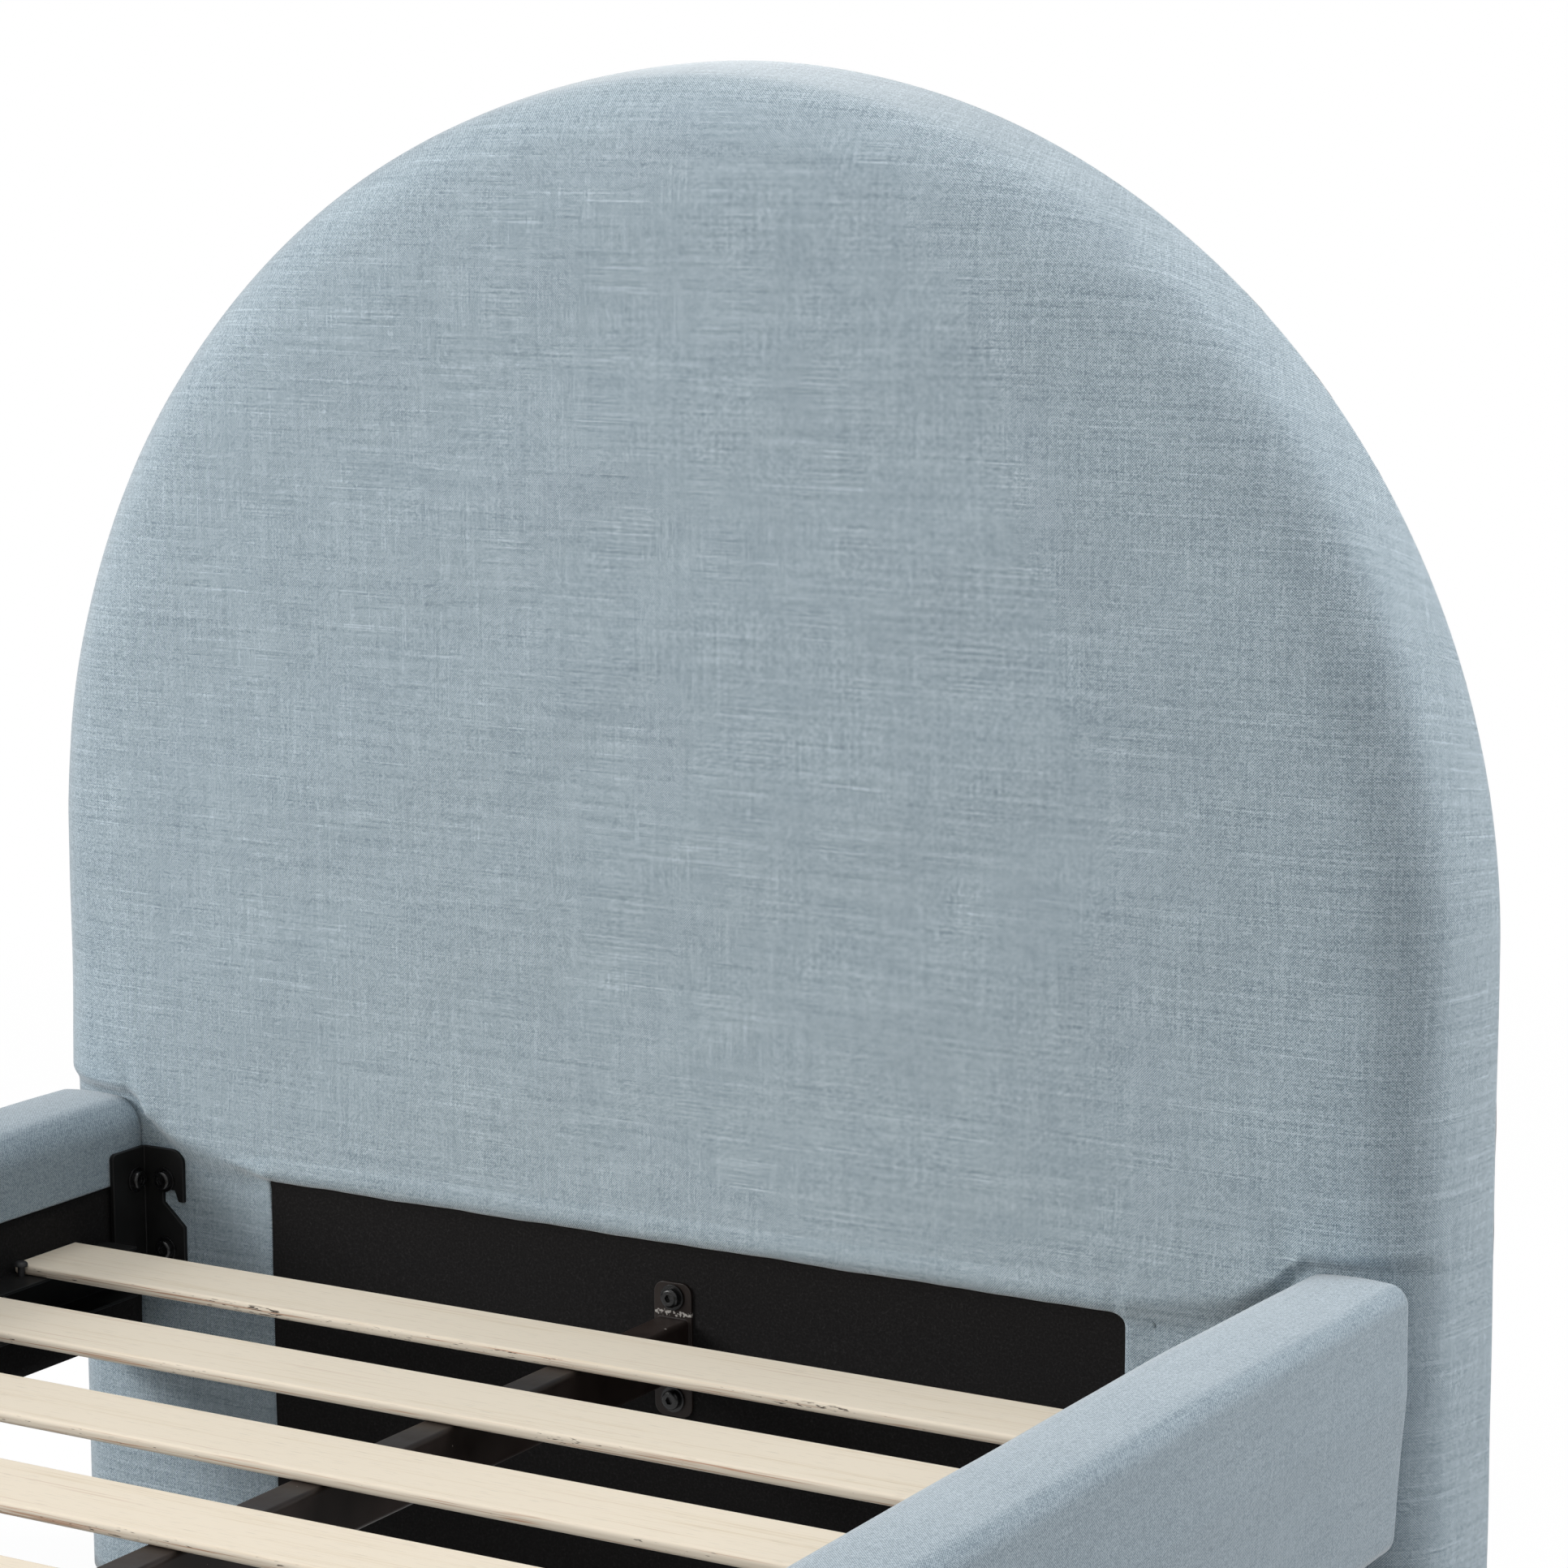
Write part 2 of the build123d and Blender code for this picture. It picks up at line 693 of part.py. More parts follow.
with BuildPart() as ledger_right:
    with BuildSketch(facing_foot(ledger_head_end)):
        with Locations((ledger_outer, ledger_bottom)):
            Rectangle(ledger_depth, ledger_height, align=(Align.MAX, Align.MIN))
        with Locations((ledger_outer - ledger_wall, ledger_bottom + ledger_wall)):
            Rectangle(
                ledger_depth,
                ledger_height - 2 * ledger_wall,
                align=(Align.MAX, Align.MIN),
                mode=Mode.SUBTRACT,
            )
    extrude(amount=ledger_length)
    with BuildSketch(facing_right(ledger_outer)):
        with Locations(*ledger_screw_places):
            Circle(ledger_screw_diameter / 2 + fastener_seat_clearance)
    extrude(amount=-ledger_wall, mode=Mode.SUBTRACT)
    with BuildSketch(Plane.XY.offset(slat_bottom)):
        with Locations(*peg_places):
            Circle((peg_stem_diameter + peg_hole_clearance) / 2)
    extrude(amount=-ledger_wall, mode=Mode.SUBTRACT)
ledger_right.part.label = "ledger_right"
export_step(ledger_right.part, "parts/ledger_right.step")

with BuildPart() as rail_board_left:
    mirror(rail_board_right.part, about=Plane.YZ)
rail_board_left.part.label = "rail_board_left"
export_step(rail_board_left.part, "parts/rail_board_left.step")

with BuildPart() as rail_padding_left:
    mirror(rail_padding_right.part, about=Plane.YZ)
rail_padding_left.part.label = "rail_padding_left"
export_step(rail_padding_left.part, "parts/rail_padding_left.step")

with BuildPart() as rail_cover_left:
    mirror(rail_cover_right.part, about=Plane.YZ)
rail_cover_left.part.label = "rail_cover_left"
export_step(rail_cover_left.part, "parts/rail_cover_left.step")

with BuildPart() as rail_lining_left:
    mirror(rail_lining_right.part, about=Plane.YZ)
rail_lining_left.part.label = "rail_lining_left"
export_step(rail_lining_left.part, "parts/rail_lining_left.step")

with BuildPart() as ledger_left:
    mirror(ledger_right.part, about=Plane.YZ)
ledger_left.part.label = "ledger_left"
export_step(ledger_left.part, "parts/ledger_left.step")

# Footboard
foot_plane = Plane(origin=(rail_outer, foot_inner, 0), x_dir=(0, -1, 0), z_dir=(-1, 0, 0))
foot_core_plane = foot_plane.offset(cover_thickness)
foot_width = 2 * rail_outer
foot_core_length = foot_width - 2 * cover_thickness

with BuildPart() as footboard_board:
    with BuildSketch(foot_core_plane):
        add(board_section())
    extrude(amount=foot_core_length)
    with BuildSketch(facing_foot(foot_inner - board_inset)):
        with Locations(*end_bolt_places):
            Circle(insert_nut_diameter / 2 + fastener_seat_clearance)
    extrude(amount=insert_nut_length, mode=Mode.SUBTRACT)
    with BuildSketch(Plane.XY.offset(board_bottom)):
        with Locations(*foot_leg_places):
            Circle(leg_stud_diameter / 2 + leg_stud_clearance)
    extrude(amount=leg_stud_in_board, mode=Mode.SUBTRACT)
footboard_board.part.label = "footboard_board"
export_step(footboard_board.part, "parts/footboard_board.step")

with BuildPart() as footboard_padding:
    with BuildSketch(foot_core_plane):
        add(padding_section())
    extrude(amount=foot_core_length)
    with BuildSketch(facing_foot(foot_inner)):
        with Locations(*end_bolt_places):
            Circle(bolt_hole / 2)
    extrude(amount=board_inset, mode=Mode.SUBTRACT)
footboard_padding.part.label = "footboard_padding"
export_step(footboard_padding.part, "parts/footboard_padding.step")

with BuildPart() as footboard_cover:
    with BuildSketch(foot_plane):
        add(rail_section(0))
    extrude(amount=foot_width)
    with BuildSketch(foot_core_plane):
        add(cover_space_section())
    extrude(amount=foot_core_length, mode=Mode.SUBTRACT)
    with BuildSketch(facing_foot(foot_inner)):
        with Locations(*end_bolt_places):
            Circle(bolt_hole / 2)
    extrude(amount=board_inset, mode=Mode.SUBTRACT)
    with BuildSketch(Plane.XY.offset(rail_bottom)):
        with Locations(*foot_leg_places):
            Circle(leg_stud_diameter / 2 + leg_stud_clearance)
    extrude(amount=cover_thickness, mode=Mode.SUBTRACT)
footboard_cover.part.label = "footboard_cover"
export_step(footboard_cover.part, "parts/footboard_cover.step")

with BuildPart() as footboard_lining:
    with BuildSketch(foot_core_plane):
        add(lining_section())
    extrude(amount=foot_core_length)
    with BuildSketch(facing_foot(foot_inner)):
        with Locations(*end_bolt_places):
            Circle(bolt_hole / 2)
    extrude(amount=board_inset, mode=Mode.SUBTRACT)
    with BuildSketch(Plane.XY.offset(rail_bottom)):
        with Locations(*foot_leg_places):
            Circle(leg_stud_diameter / 2 + leg_stud_clearance)
    extrude(amount=cover_thickness, mode=Mode.SUBTRACT)
footboard_lining.part.label = "footboard_lining"
export_step(footboard_lining.part, "parts/footboard_lining.step")

# Foot end legs
foot_leg_top = rail_bottom
foot_leg_height = foot_leg_top - glide_height

with BuildPart() as footboard_leg_right:
    with BuildSketch(Plane.XY.offset(glide_height)):
        with Locations((foot_leg_x, foot_leg_y)):
            Circle(foot_leg_bottom_diameter / 2)
    with BuildSketch(Plane.XY.offset(foot_leg_top)):
        with Locations((foot_leg_x, foot_leg_y)):
            Circle(foot_leg_top_diameter / 2)
    loft()
    fillet(footboard_leg_right.edges().group_by(Axis.Z)[0], radius=foot_leg_edge_radius)
    with BuildSketch(Plane.XY.offset(foot_leg_top)):
        with Locations((foot_leg_x, foot_leg_y)):
            Circle(leg_stud_diameter / 2 + leg_stud_clearance)
    extrude(amount=-leg_stud_in_leg, mode=Mode.SUBTRACT)
    with BuildSketch(Plane.XY.offset(glide_height)):
        with Locations((foot_leg_x, foot_leg_y)):
            Circle(glide_pin_diameter / 2 + glide_pin_clearance)
    extrude(amount=glide_pin_length, mode=Mode.SUBTRACT)
footboard_leg_right.part.label = "footboard_leg_right"
export_step(footboard_leg_right.part, "parts/footboard_leg_right.step")

with BuildPart() as footboard_leg_left:
    mirror(footboard_leg_right.part, about=Plane.YZ)
footboard_leg_left.part.label = "footboard_leg_left"
export_step(footboard_leg_left.part, "parts/footboard_leg_left.step")

with BuildPart() as leg_studs:
    with BuildSketch(Plane.XY.offset(foot_leg_top - leg_stud_in_leg)):
        with Locations(*foot_leg_places):
            Circle(leg_stud_diameter / 2)
    extrude(amount=leg_stud_in_leg + cover_thickness + leg_stud_in_board)
leg_studs.part.label = "leg_studs"
export_step(leg_studs.part, "parts/leg_studs.step")

with BuildPart() as floor_glides:
    with Locations(*headboard_glide_places, *foot_leg_places):
        add(floor_glide())
floor_glides.part.label = "floor_glides"
export_step(floor_glides.part, "parts/floor_glides.step")

# Corner brackets
bracket_inner_edge = rail_inner - bracket_flange
bracket_end = headboard_front - bracket_flange

with BuildPart() as head_bracket_right:
    with BuildSketch(Plane.XY.offset(bracket_bottom)) as angle:
        with BuildLine():
            Polyline(
                (rail_inner, headboard_front),
                (bracket_inner_edge, headboard_front),
                (bracket_inner_edge, headboard_front - bracket_thickness),
                (rail_inner - bracket_thickness, headboard_front - bracket_thickness),
                (rail_inner - bracket_thickness, bracket_end),
                (rail_inner, bracket_end),
                close=True,
            )
        make_face()
        bend = angle.vertices().sort_by(Axis.X).group_by(Axis.X)[-1].sort_by(Axis.Y)[-1]
        fillet(bend, radius=bracket_bend_radius)
    extrude(amount=bracket_height)
    free_corners = head_bracket_right.edges().filter_by(Axis.Y).group_by(Axis.X)[0]
    fillet(free_corners, radius=bracket_board_corner_radius)
    rail_corners = head_bracket_right.edges().filter_by(Axis.X).group_by(Axis.Y)[0]
    fillet(rail_corners, radius=bracket_rail_corner_radius)
    with BuildSketch(facing_foot(headboard_front)):
        with BuildLine():
            Polyline(
                (bracket_inner_edge + hook_tooth_root, hook_notch_top),
                (bracket_inner_edge + hook_notch_depth, hook_notch_top),
                (bracket_inner_edge + hook_notch_depth, hook_notch_shoulder),
                (bracket_inner_edge, hook_ramp_bottom),
                (bracket_inner_edge, hook_tooth_tip),
                (bracket_inner_edge + hook_tooth_point, hook_tooth_tip),
                close=True,
            )
        make_face()
    extrude(amount=bracket_thickness, mode=Mode.SUBTRACT)
    with BuildSketch(facing_foot(headboard_front)):
        with Locations(*bracket_bolt_places):
            Circle(bolt_hole / 2)
    extrude(amount=bracket_thickness, mode=Mode.SUBTRACT)
    with BuildSketch(facing_right(rail_inner)):
        with Locations(*rail_bolt_places):
            Circle(bolt_hole / 2)
    extrude(amount=-bracket_thickness, mode=Mode.SUBTRACT)
head_bracket_right.part.label = "head_bracket_right"
export_step(head_bracket_right.part, "parts/head_bracket_right.step")

with BuildPart() as head_bracket_left:
    mirror(head_bracket_right.part, about=Plane.YZ)
head_bracket_left.part.label = "head_bracket_left"
export_step(head_bracket_left.part, "parts/head_bracket_left.step")

with BuildPart() as foot_bracket_right:
    mirror(head_bracket_right.part, about=facing_foot(mid_length))
foot_bracket_right.part.label = "foot_bracket_right"
export_step(foot_bracket_right.part, "parts/foot_bracket_right.step")

with BuildPart() as foot_bracket_left:
    mirror(foot_bracket_right.part, about=Plane.YZ)
foot_bracket_left.part.label = "foot_bracket_left"
export_step(foot_bracket_left.part, "parts/foot_bracket_left.step")

# Slats and pegs
for number, head_edge in enumerate(slat_head_edges, start=1):
    slat_name = f"slat_{number:02d}"
    with BuildPart() as slat:
        with BuildSketch(facing_right(-slat_length / 2)) as slat_profile:
            with Locations((head_edge, slat_bottom)):
                Rectangle(slat_width, slat_thickness, align=(Align.MAX, Align.MIN))
            fillet(slat_profile.vertices(), radius=slat_edge_radius)
        extrude(amount=slat_length)
    slat.part.label = slat_name
    export_step(slat.part, f"parts/{slat_name}.step")

with BuildPart() as slat_pegs:
    with Locations(*peg_places):
        add(slat_peg())
slat_pegs.part.label = "slat_pegs"
export_step(slat_pegs.part, "parts/slat_pegs.step")

# Centre beam
beam_head = headboard_front + lining_recess
beam_foot = foot_inner - rail_lining_recess
beam_length = beam_head - beam_foot
plate_faces = (beam_head, beam_foot + beam_plate_thickness)
leg_screw_places = [(0, mid_length - leg_screw_spacing / 2), (0, mid_length + leg_screw_spacing / 2)]

with BuildPart() as center_beam:
    with BuildSketch(facing_foot(beam_head)):
        with Locations((0, beam_bottom + beam_height / 2)):
            RectangleRounded(beam_width, beam_height, beam_corner_radius)
            RectangleRounded(
                beam_width - 2 * beam_wall,
                beam_height - 2 * beam_wall,
                beam_corner_radius - beam_wall,
                mode=Mode.SUBTRACT,
            )
    extrude(amount=beam_length)
    for plate_face in plate_faces:
        with BuildSketch(facing_foot(plate_face)) as plate:
            with Locations((0, beam_plate_bottom)):
                Rectangle(beam_plate_width, beam_plate_height, align=(Align.CENTER, Align.MIN))
            fillet(plate.vertices(), radius=beam_plate_corner_radius)
            with Locations(*beam_bolt_places):
                Circle(bolt_hole / 2, mode=Mode.SUBTRACT)
        extrude(amount=beam_plate_thickness)
    with BuildSketch(Plane.XY.offset(beam_bottom)):
        with Locations(*leg_screw_places):
            Circle(leg_screw_diameter / 2 + fastener_seat_clearance)
    extrude(amount=beam_wall, mode=Mode.SUBTRACT)
center_beam.part.label = "center_beam"
export_step(center_beam.part, "parts/center_beam.step")

# Centre leg
leg_bore = leg_tube_diameter - 2 * leg_tube_wall
stem_bore = foot_stem_diameter + 2 * foot_stem_clearance
lock_nut_top = leg_tube_bottom - leg_insert_flange_thickness
lock_nut_bottom = foot_pad_height + foot_travel + foot_travel_clearance

with BuildPart() as center_leg:
    with BuildSketch(Plane.XY.offset(leg_plate_bottom)) as leg_plate:
        with Locations((0, mid_length)):
            Rectangle(beam_width, leg_plate_length)
        fillet(leg_plate.vertices(), radius=leg_plate_corner_radius)
        with Locations(*leg_screw_places):
            Circle(leg_screw_diameter / 2 + fastener_seat_clearance, mode=Mode.SUBTRACT)
    extrude(amount=leg_plate_thickness)
    with BuildSketch(Plane.XY.offset(leg_tube_bottom)):
        with Locations((0, mid_length)):
            Circle(leg_tube_diameter / 2)
            Circle(leg_bore / 2, mode=Mode.SUBTRACT)
    extrude(amount=leg_plate_bottom - leg_tube_bottom)
center_leg.part.label = "center_leg"
export_step(center_leg.part, "parts/center_leg.step")

leg_screw = pan_screw(leg_screw_diameter, leg_screw_length, leg_screw_head_diameter, leg_screw_head_height)
with BuildPart() as center_leg_screws:
    with Locations(Plane(origin=(0, 0, leg_plate_bottom), x_dir=(1, 0, 0), z_dir=(0, 0, -1))):
        with Locations(*[(x, -y, 0) for x, y in leg_screw_places]):
            add(leg_screw)
center_leg_screws.part.label = "center_leg_screws"
export_step(center_leg_screws.part, "parts/center_leg_screws.step")

with BuildPart() as leg_insert:
    with BuildSketch(Plane.XY.offset(lock_nut_top)):
        with Locations((0, mid_length)):
            Circle(leg_tube_diameter / 2)
    extrude(amount=leg_insert_flange_thickness)
    with BuildSketch(Plane.XY.offset(leg_tube_bottom)):
        with Locations((0, mid_length)):
            Circle(leg_bore / 2 - fastener_seat_clearance)
    extrude(amount=leg_insert_length)
    with BuildSketch(Plane.XY.offset(lock_nut_top)):
        with Locations((0, mid_length)):
            Circle(stem_bore / 2)
    extrude(amount=leg_insert_flange_thickness + leg_insert_length, mode=Mode.SUBTRACT)
leg_insert.part.label = "leg_insert"
export_step(leg_insert.part, "parts/leg_insert.step")

with BuildPart() as lock_nut:
    with BuildSketch(Plane.XY.offset(lock_nut_bottom)):
        with Locations((0, mid_length)):
            RegularPolygon(lock_nut_across_flats / 2, 6, major_radius=False)
            Circle(stem_bore / 2, mode=Mode.SUBTRACT)
    extrude(amount=lock_nut_top - lock_nut_bottom)
lock_nut.part.label = "lock_nut"
export_step(lock_nut.part, "parts/lock_nut.step")

with BuildPart() as levelling_foot:
    with BuildSketch():
        with Locations((0, mid_length)):
            Circle(foot_pad_diameter / 2)
    extrude(amount=foot_pad_height)
    fillet(levelling_foot.edges().filter_by(GeomType.CIRCLE), radius=foot_pad_edge_radius)
    with BuildSketch(Plane.XY.offset(foot_pad_height)):
        with Locations((0, mid_length)):
            Circle(foot_stem_diameter / 2)
    extrude(amount=foot_stem_length)
levelling_foot.part.label = "levelling_foot"
export_step(levelling_foot.part, "parts/levelling_foot.step")

# Bolts, washers and nuts
head_bracket_seat = headboard_front - bracket_thickness
foot_bracket_seat = foot_inner + bracket_thickness
rail_bracket_seat = rail_inner - bracket_thickness
head_plate_seat = beam_head - beam_plate_thickness
foot_plate_seat = beam_foot + beam_plate_thickness
tee_nut_end = frame_back - tee_nut_flange_thickness - lining_thickness


def head_seats(y, places):
    """Places on a plane at y, turned so that a bolt's shank runs to the headboard."""
    return [Plane(origin=(x, y, z), x_dir=(1, 0, 0), z_dir=(0, -1, 0)) for x, z in places]


def foot_seats(y, places):
    """Places on a plane at y, turned so that a bolt's shank runs to the foot end."""
    return [Plane(origin=(x, y, z), x_dir=(1, 0, 0), z_dir=(0, 1, 0)) for x, z in places]


def rail_seats(x, places):
    """Places on both rails at x and -x, turned so that a screw's shank runs into its rail."""
    return [
        Plane(origin=(side * x, y, z), x_dir=(0, 1, 0), z_dir=(-side, 0, 0))
        for side in (-1, 1)
        for y, z in places
    ]


with BuildPart() as headboard_bracket_bolts:
    with Locations(*head_seats(head_bracket_seat - washer_thickness, bracket_bolt_places)):
        add(button_bolt(tee_nut_end - head_bracket_seat + washer_thickness))
headboard_bracket_bolts.part.label = "headboard_bracket_bolts"
export_step(headboard_bracket_bolts.part, "parts/headboard_bracket_bolts.step")

insert_bolt_length = washer_thickness + bracket_thickness + board_inset + insert_bolt_reach
with BuildPart() as footboard_bracket_bolts:
    with Locations(*foot_seats(foot_bracket_seat + washer_thickness, bracket_bolt_places)):
        add(button_bolt(insert_bolt_length))
footboard_bracket_bolts.part.label = "footboard_bracket_bolts"
export_step(footboard_bracket_bolts.part, "parts/footboard_bracket_bolts.step")

with BuildPart() as rail_bracket_bolts:
    with Locations(*rail_seats(rail_bracket_seat - washer_thickness, rail_bolt_places)):
        add(button_bolt(insert_bolt_length))
rail_bracket_bolts.part.label = "rail_bracket_bolts"
export_step(rail_bracket_bolts.part, "parts/rail_bracket_bolts.step")

with BuildPart() as beam_bolts:
    with Locations(*head_seats(head_plate_seat - washer_thickness, beam_bolt_places)):
        add(button_bolt(tee_nut_end - head_plate_seat + washer_thickness))
    with Locations(*foot_seats(foot_plate_seat + washer_thickness, beam_bolt_places)):
        add(button_bolt(washer_thickness + beam_plate_thickness + lining_thickness + insert_bolt_reach))
beam_bolts.part.label = "beam_bolts"
export_step(beam_bolts.part, "parts/beam_bolts.step")

with BuildPart() as washer:
    with BuildSketch():
        Circle(washer_diameter / 2)
        Circle(bolt_hole / 2, mode=Mode.SUBTRACT)
    extrude(amount=washer_thickness)

with BuildPart() as bolt_washers:
    with Locations(
        *head_seats(head_bracket_seat, bracket_bolt_places),
        *foot_seats(foot_bracket_seat, bracket_bolt_places),
        *rail_seats(rail_bracket_seat, rail_bolt_places),
        *head_seats(head_plate_seat, beam_bolt_places),
        *foot_seats(foot_plate_seat, beam_bolt_places),
    ):
        add(washer.part)
bolt_washers.part.label = "bolt_washers"
export_step(bolt_washers.part, "parts/bolt_washers.step")

with BuildPart() as rail_insert_nuts:
    with Locations(*rail_seats(rail_inner + board_inset, rail_bolt_places)):
        add(insert_nut())
rail_insert_nuts.part.label = "rail_insert_nuts"
export_step(rail_insert_nuts.part, "parts/rail_insert_nuts.step")

with BuildPart() as footboard_insert_nuts:
    with Locations(*foot_seats(foot_inner - board_inset, end_bolt_places)):
        add(insert_nut())
footboard_insert_nuts.part.label = "footboard_insert_nuts"
export_step(footboard_insert_nuts.part, "parts/footboard_insert_nuts.step")

ledger_screw = pan_screw(
    ledger_screw_diameter, ledger_screw_length, ledger_screw_head_diameter, ledger_screw_head_height
)
with BuildPart() as ledger_screws:
    with Locations(*rail_seats(ledger_outer - ledger_wall, ledger_screw_places)):
        add(ledger_screw)
ledger_screws.part.label = "ledger_screws"
export_step(ledger_screws.part, "parts/ledger_screws.step")
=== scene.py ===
"""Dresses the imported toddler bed: upholstery, black linings, veneer slats, painted steel and a studio.

Metres, in the bed's own frame: +X to the right seen from the foot end, +Y to the headboard, +Z up.
"""

import bmesh
import bpy
import numpy as np
from bpy.props import FloatProperty, FloatVectorProperty, PointerProperty
from mathutils import Matrix, Vector


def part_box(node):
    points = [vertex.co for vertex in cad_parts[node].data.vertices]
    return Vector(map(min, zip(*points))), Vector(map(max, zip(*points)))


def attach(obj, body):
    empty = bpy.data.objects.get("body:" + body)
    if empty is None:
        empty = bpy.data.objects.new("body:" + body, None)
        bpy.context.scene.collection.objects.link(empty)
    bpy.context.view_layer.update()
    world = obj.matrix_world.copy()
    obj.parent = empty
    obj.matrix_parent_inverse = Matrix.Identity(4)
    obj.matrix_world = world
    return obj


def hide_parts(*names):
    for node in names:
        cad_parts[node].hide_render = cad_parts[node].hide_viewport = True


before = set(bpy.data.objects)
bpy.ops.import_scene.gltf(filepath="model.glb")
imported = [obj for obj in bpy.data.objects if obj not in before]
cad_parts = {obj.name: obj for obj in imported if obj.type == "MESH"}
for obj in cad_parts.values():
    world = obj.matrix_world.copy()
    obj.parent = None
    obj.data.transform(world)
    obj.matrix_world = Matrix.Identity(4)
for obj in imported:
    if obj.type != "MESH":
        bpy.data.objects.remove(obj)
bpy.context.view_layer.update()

bl_info = {
    "name": "Toddler bed looks",
    "version": (1, 0, 0),
    "blender": (4, 5, 0),
    "location": "View3D > Sidebar > Bed",
    "description": "Upholstery, slats, steelwork and studio for a low child's bed with an arched headboard",
    "category": "Object",
}

head_low, head_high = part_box("headboard_cover")
window_low, window_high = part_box("headboard_front_lining")
lining_low, lining_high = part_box("headboard_back_lining")
rail_low, rail_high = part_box("rail_cover_right")
rail_lining_low, rail_lining_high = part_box("rail_lining_right")
foot_low, foot_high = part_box("footboard_cover")
mm = 0.001
back_fold = 0.003  # rounding where the headboard's cover turns onto its back
window_overlap = 0.003  # how far the black panel runs on under its hem
sheet_thickness = 0.0009  # the black panel and the headboard's back sheet
strip_thickness = 0.0007  # the strips in the rails and the footboard
rail_row_step = 0.012  # spacing of the grid rows along a rail
slat_count = 12
plate_scuff = 0.2200  # height of the scraped band on the beam's upper end plate


def linear(hex_colour):
    """The linear red, green and blue of an sRGB hex value."""
    channels = np.array([int(hex_colour[i:i + 2], 16) for i in (1, 3, 5)]) / 255
    return tuple(np.where(channels <= 0.04045, channels / 12.92, ((channels + 0.055) / 1.055) ** 2.4))


def colour(name, description, hex_colour):
    return FloatVectorProperty(
        name=name, description=description, default=linear(hex_colour),
        subtype="COLOR", size=3, min=0, max=1,
    )


def length(name, description, metres):
    return FloatProperty(
        name=name, description=description, default=metres, unit="LENGTH", subtype="DISTANCE"
    )


def power(name, description, watts):
    return FloatProperty(name=name, description=description, default=watts, subtype="POWER")


class BedUpholstery(bpy.types.PropertyGroup):
    """Sizes and colours of the padded pieces."""

    half_width: length("Half width", "Half the headboard's width, at its back edge", 0.432)
    spring_height: length("Springing height", "Height at which the arch starts", 0.4445)
    arch_rise: length("Arch rise", "Height of the arch above its springing", 0.4305)
    swell: length("Foam swell", "How far the foam above the rails stands proud of the lower front", 0.008)
    crown: length("Rail crown", "How far a rail's top is domed", 0.002)
    flap: length("Flap height", "How far the fabric comes down a rail's inner face", 0.0454)
    recess: length("Lining recess", "How far a rail's lining lies behind the flap", 0.0035)
    fabric_light: colour("Light yarn", "Linen-look cover, its lighter yarn", "#C3D1D9")
    fabric_dark: colour("Dark yarn", "Linen-look cover, its darker yarn", "#6C7E8A")
    # Painted shade: the yarns of the rails and footboard are the headboard's cloth made about a fifth
    # darker, for the less light that falls on them.
    rail_shaded_light: colour("Rail light yarn", "Cover of rails and footboard, its lighter yarn", "#B1BFC8")
    rail_shaded_dark: colour("Rail dark yarn", "Cover of rails and footboard, its darker yarn", "#627480")
    lining_black: colour("Lining", "Black needled lining", "#1B1A1A")


class BedTimber(bpy.types.PropertyGroup):
    """Colours of the slats and legs."""

    veneer_light: colour("Veneer", "Sanded face veneer of a slat", "#E1D5C2")
    veneer_dark: colour("Veneer grain", "Darker grain lines in the face veneer", "#D3C3AA")
    veneer_edge: colour("Veneer edge", "Glue lines and inner plies on a slat's edge", "#B08A70")
    leg_stain: colour("Leg stain", "Black stain on the foot end's legs", "#1C1917")


class BedSteel(bpy.types.PropertyGroup):
    """Colours of the painted steel."""

    black_coat: colour("Black coat", "Powder coat on brackets and ledgers", "#191919")
    brown_coat: colour("Brown coat", "Powder coat on the centre beam", "#251E1B")
    bolt_black: colour("Bolt black", "Black oxide on bolts and washers", "#0F0F10")


class BedStudio(bpy.types.PropertyGroup):
    """Camera and light."""

    camera_place: FloatVectorProperty(
        name="Camera place", description="Where the camera stands", subtype="TRANSLATION", unit="LENGTH",
        default=(1.2442, -1.2973, 0.8825),
    )
    lens: FloatProperty(
        name="Lens", description="Focal length on a 36 mm sensor", default=103.54, unit="CAMERA"
    )
    key_power: power("Key light", "Soft light, front left", 62)
    top_power: power("Top light", "Soft light overhead", 31)
    right_power: power("Right light", "Soft light, right back", 23.5)
    ambient: FloatProperty(
        name="Ambient", description="Strength of the even light from all sides", default=0.46
    )
    floor_colour: colour("Floor", "Pale studio floor", "#8C8C8C")


def plug(tree, node, inputs):
    """Sets a node's inputs to values, or links them to other nodes' outputs."""
    for key, value in inputs.items():
        if isinstance(value, bpy.types.NodeSocket):
            tree.links.new(value, node.inputs[key])
        else:
            node.inputs[key].default_value = value


def add_node(tree, kind, inputs=None, stops=(), **settings):
    """Adds a shader node and returns its outputs.

    Settings are its own attributes, inputs are values or other nodes' outputs, and stops are those of a
    colour ramp, as (place, grey or rgb).
    """
    made = tree.nodes.new("ShaderNode" + kind)
    for name, value in settings.items():
        setattr(made, name, value)
    plug(tree, made, inputs or {})
    for index, (place, value) in enumerate(stops):
        elements = made.color_ramp.elements
        element = elements[index] if index < len(elements) else elements.new(place)
        element.position = place
        element.color = rgba(value) if hasattr(value, "__len__") else (value, value, value, 1)
    return made.outputs


def seen_directly(tree):
    """1 where the camera looks, straight on, in a reflection or through something clear."""
    path = add_node(tree, "LightPath")
    rays = {0: path["Is Camera Ray"], 1: path["Is Glossy Ray"]}
    seen = add_node(tree, "Math", rays, operation="MAXIMUM")[0]
    return add_node(tree, "Math", {0: seen, 1: path["Is Transmission Ray"]}, operation="MAXIMUM")[0]


def new_material(name):
    """A material with one Principled shader, its tree and that shader."""
    material = bpy.data.materials.new(name)
    material.use_nodes = True
    tree = material.node_tree
    return material, tree, tree.nodes["Principled BSDF"]


def rgba(values):
    return (*values, 1)


